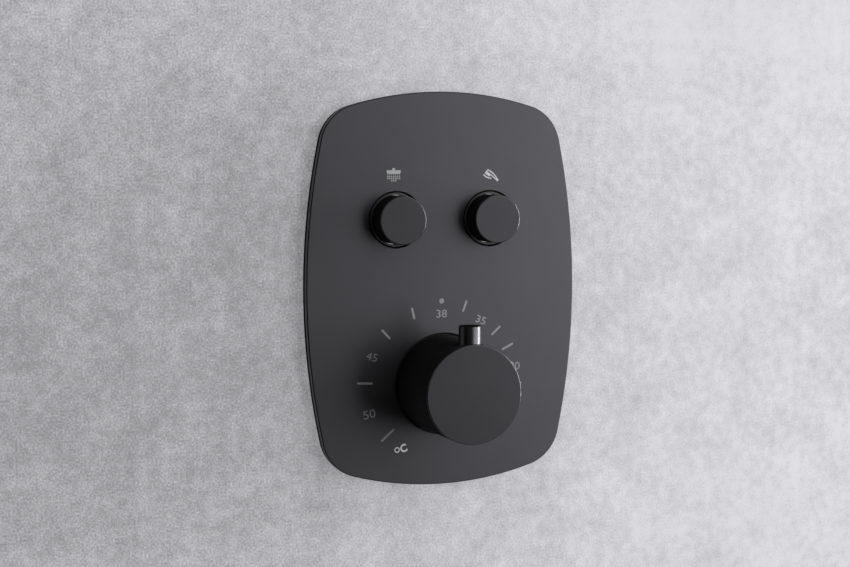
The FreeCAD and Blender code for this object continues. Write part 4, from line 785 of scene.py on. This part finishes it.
def pale_floor():
    """Pale floor with faint patches, far below the valve."""
    finish = Finish("pale_floor", (0.62, 0.62, 0.62), roughness=0.8)
    finish.vary_colour(finish.noise(80 * MM, detail=5), (0.66, 0.66, 0.66))
    return finish.material


wall_corners = [(x * SHEET_HALF, WALL_BEHIND, z * SHEET_HALF) for x, z in SHEET_CORNERS]
floor_corners = [(x * SHEET_HALF, y * SHEET_HALF, FLOOR_LEVEL) for x, y in SHEET_CORNERS]
flat_sheet("wall", wall_corners, wall_concrete())
flat_sheet("floor", floor_corners, pale_floor())


# ---------------------------------------------------------------- camera, lamps, world

CAMERA_PLACE = Vector((-0.25935, -0.69511, 0.06298))
CAMERA_LOOK = Vector((0.34031, 0.93678, -0.08147))
CAMERA_ROLL = math.radians(-0.11)
CAMERA_LENS = 68.41
CAMERA_CLIP_START = 0.01

# name, azimuth and height angle, degrees; distance, width and height, metres; watts
LAMPS = (
    ("front_right", 40, 5, 1.3, 0.8, 1.1, 10.3),
    ("side_right", 85, 3, 1.3, 0.3, 0.9, 32),
    ("upper_right", 30, 40, 1.3, 0.8, 0.6, 3.2),
    ("front_left", -30, 25, 1.5, 0.8, 0.9, 1.3),
    ("rear_left", -150, 30, 1.3, 0.8, 0.8, 9),
    ("rear_right", 130, 15, 1.3, 0.8, 0.8, 6),
)

# The world keeps its default colour, a dark grey, and these are strengths of it: what the camera
# sees, and its light, which comes from behind the wall only. The light grows from nothing at the
# start to the whole at the end, by the Y of the direction that it comes from.
WORLD_SEEN = 0.75
WORLD_REAR = 0.5
WORLD_REAR_START = 0.05
WORLD_REAR_END = 0.3


def make_camera():
    """The photo's camera, worked out from the outlines in it."""
    camera = bpy.data.cameras.new("camera")
    camera.lens = CAMERA_LENS
    camera.clip_start = CAMERA_CLIP_START
    piece = bpy.data.objects.new("camera", camera)
    bpy.context.scene.collection.objects.link(piece)
    piece.rotation_mode = "QUATERNION"
    facing = CAMERA_LOOK.to_track_quat("-Z", "Y")
    piece.rotation_quaternion = facing @ Matrix.Rotation(CAMERA_ROLL, 3, "Z").to_quaternion()
    piece.location = CAMERA_PLACE
    bpy.context.scene.camera = piece


def softbox(name, azimuth, height_angle, distance, width, height, watts):
    """A lamp that faces the middle of the plate, azimuth 0 in front and 90 to the right of it."""
    lamp = bpy.data.lights.new(name, "AREA")
    lamp.shape = "RECTANGLE"
    lamp.size = width
    lamp.size_y = height
    lamp.energy = watts
    piece = bpy.data.objects.new(name, lamp)
    bpy.context.scene.collection.objects.link(piece)
    turn = math.radians(azimuth)
    rise = math.radians(height_angle)
    level = math.cos(rise)
    out = Vector((math.sin(turn) * level, -math.cos(turn) * level, math.sin(rise)))
    piece.location = out * distance
    piece.rotation_mode = "QUATERNION"
    piece.rotation_quaternion = (-out).to_track_quat("-Z", "Y")


def make_world():
    """No light from in front, where the lamps are mirrored, and a faint grey behind the wall."""
    world = bpy.data.worlds.new("studio")
    bpy.context.scene.world = world
    world.use_nodes = True
    tree = world.node_tree
    background = tree.nodes["Background"]
    place = tree.nodes.new("ShaderNodeTexCoord")
    split = tree.nodes.new("ShaderNodeSeparateXYZ")
    rear = tree.nodes.new("ShaderNodeMapRange")
    rear.inputs["From Min"].default_value = WORLD_REAR_START
    rear.inputs["From Max"].default_value = WORLD_REAR_END
    rear.inputs["To Max"].default_value = WORLD_REAR
    path = tree.nodes.new("ShaderNodeLightPath")
    seen = tree.nodes.new("ShaderNodeMix")
    seen.inputs["B"].default_value = WORLD_SEEN
    tree.links.new(place.outputs["Generated"], split.inputs["Vector"])
    tree.links.new(split.outputs["Y"], rear.inputs["Value"])
    tree.links.new(rear.outputs["Result"], seen.inputs["A"])
    tree.links.new(path.outputs["Is Camera Ray"], seen.inputs["Factor"])
    tree.links.new(seen.outputs["Result"], background.inputs["Strength"])


make_camera()
for row in LAMPS:
    softbox(*row)
make_world()

scene = bpy.context.scene
scene.view_settings.view_transform = "Standard"
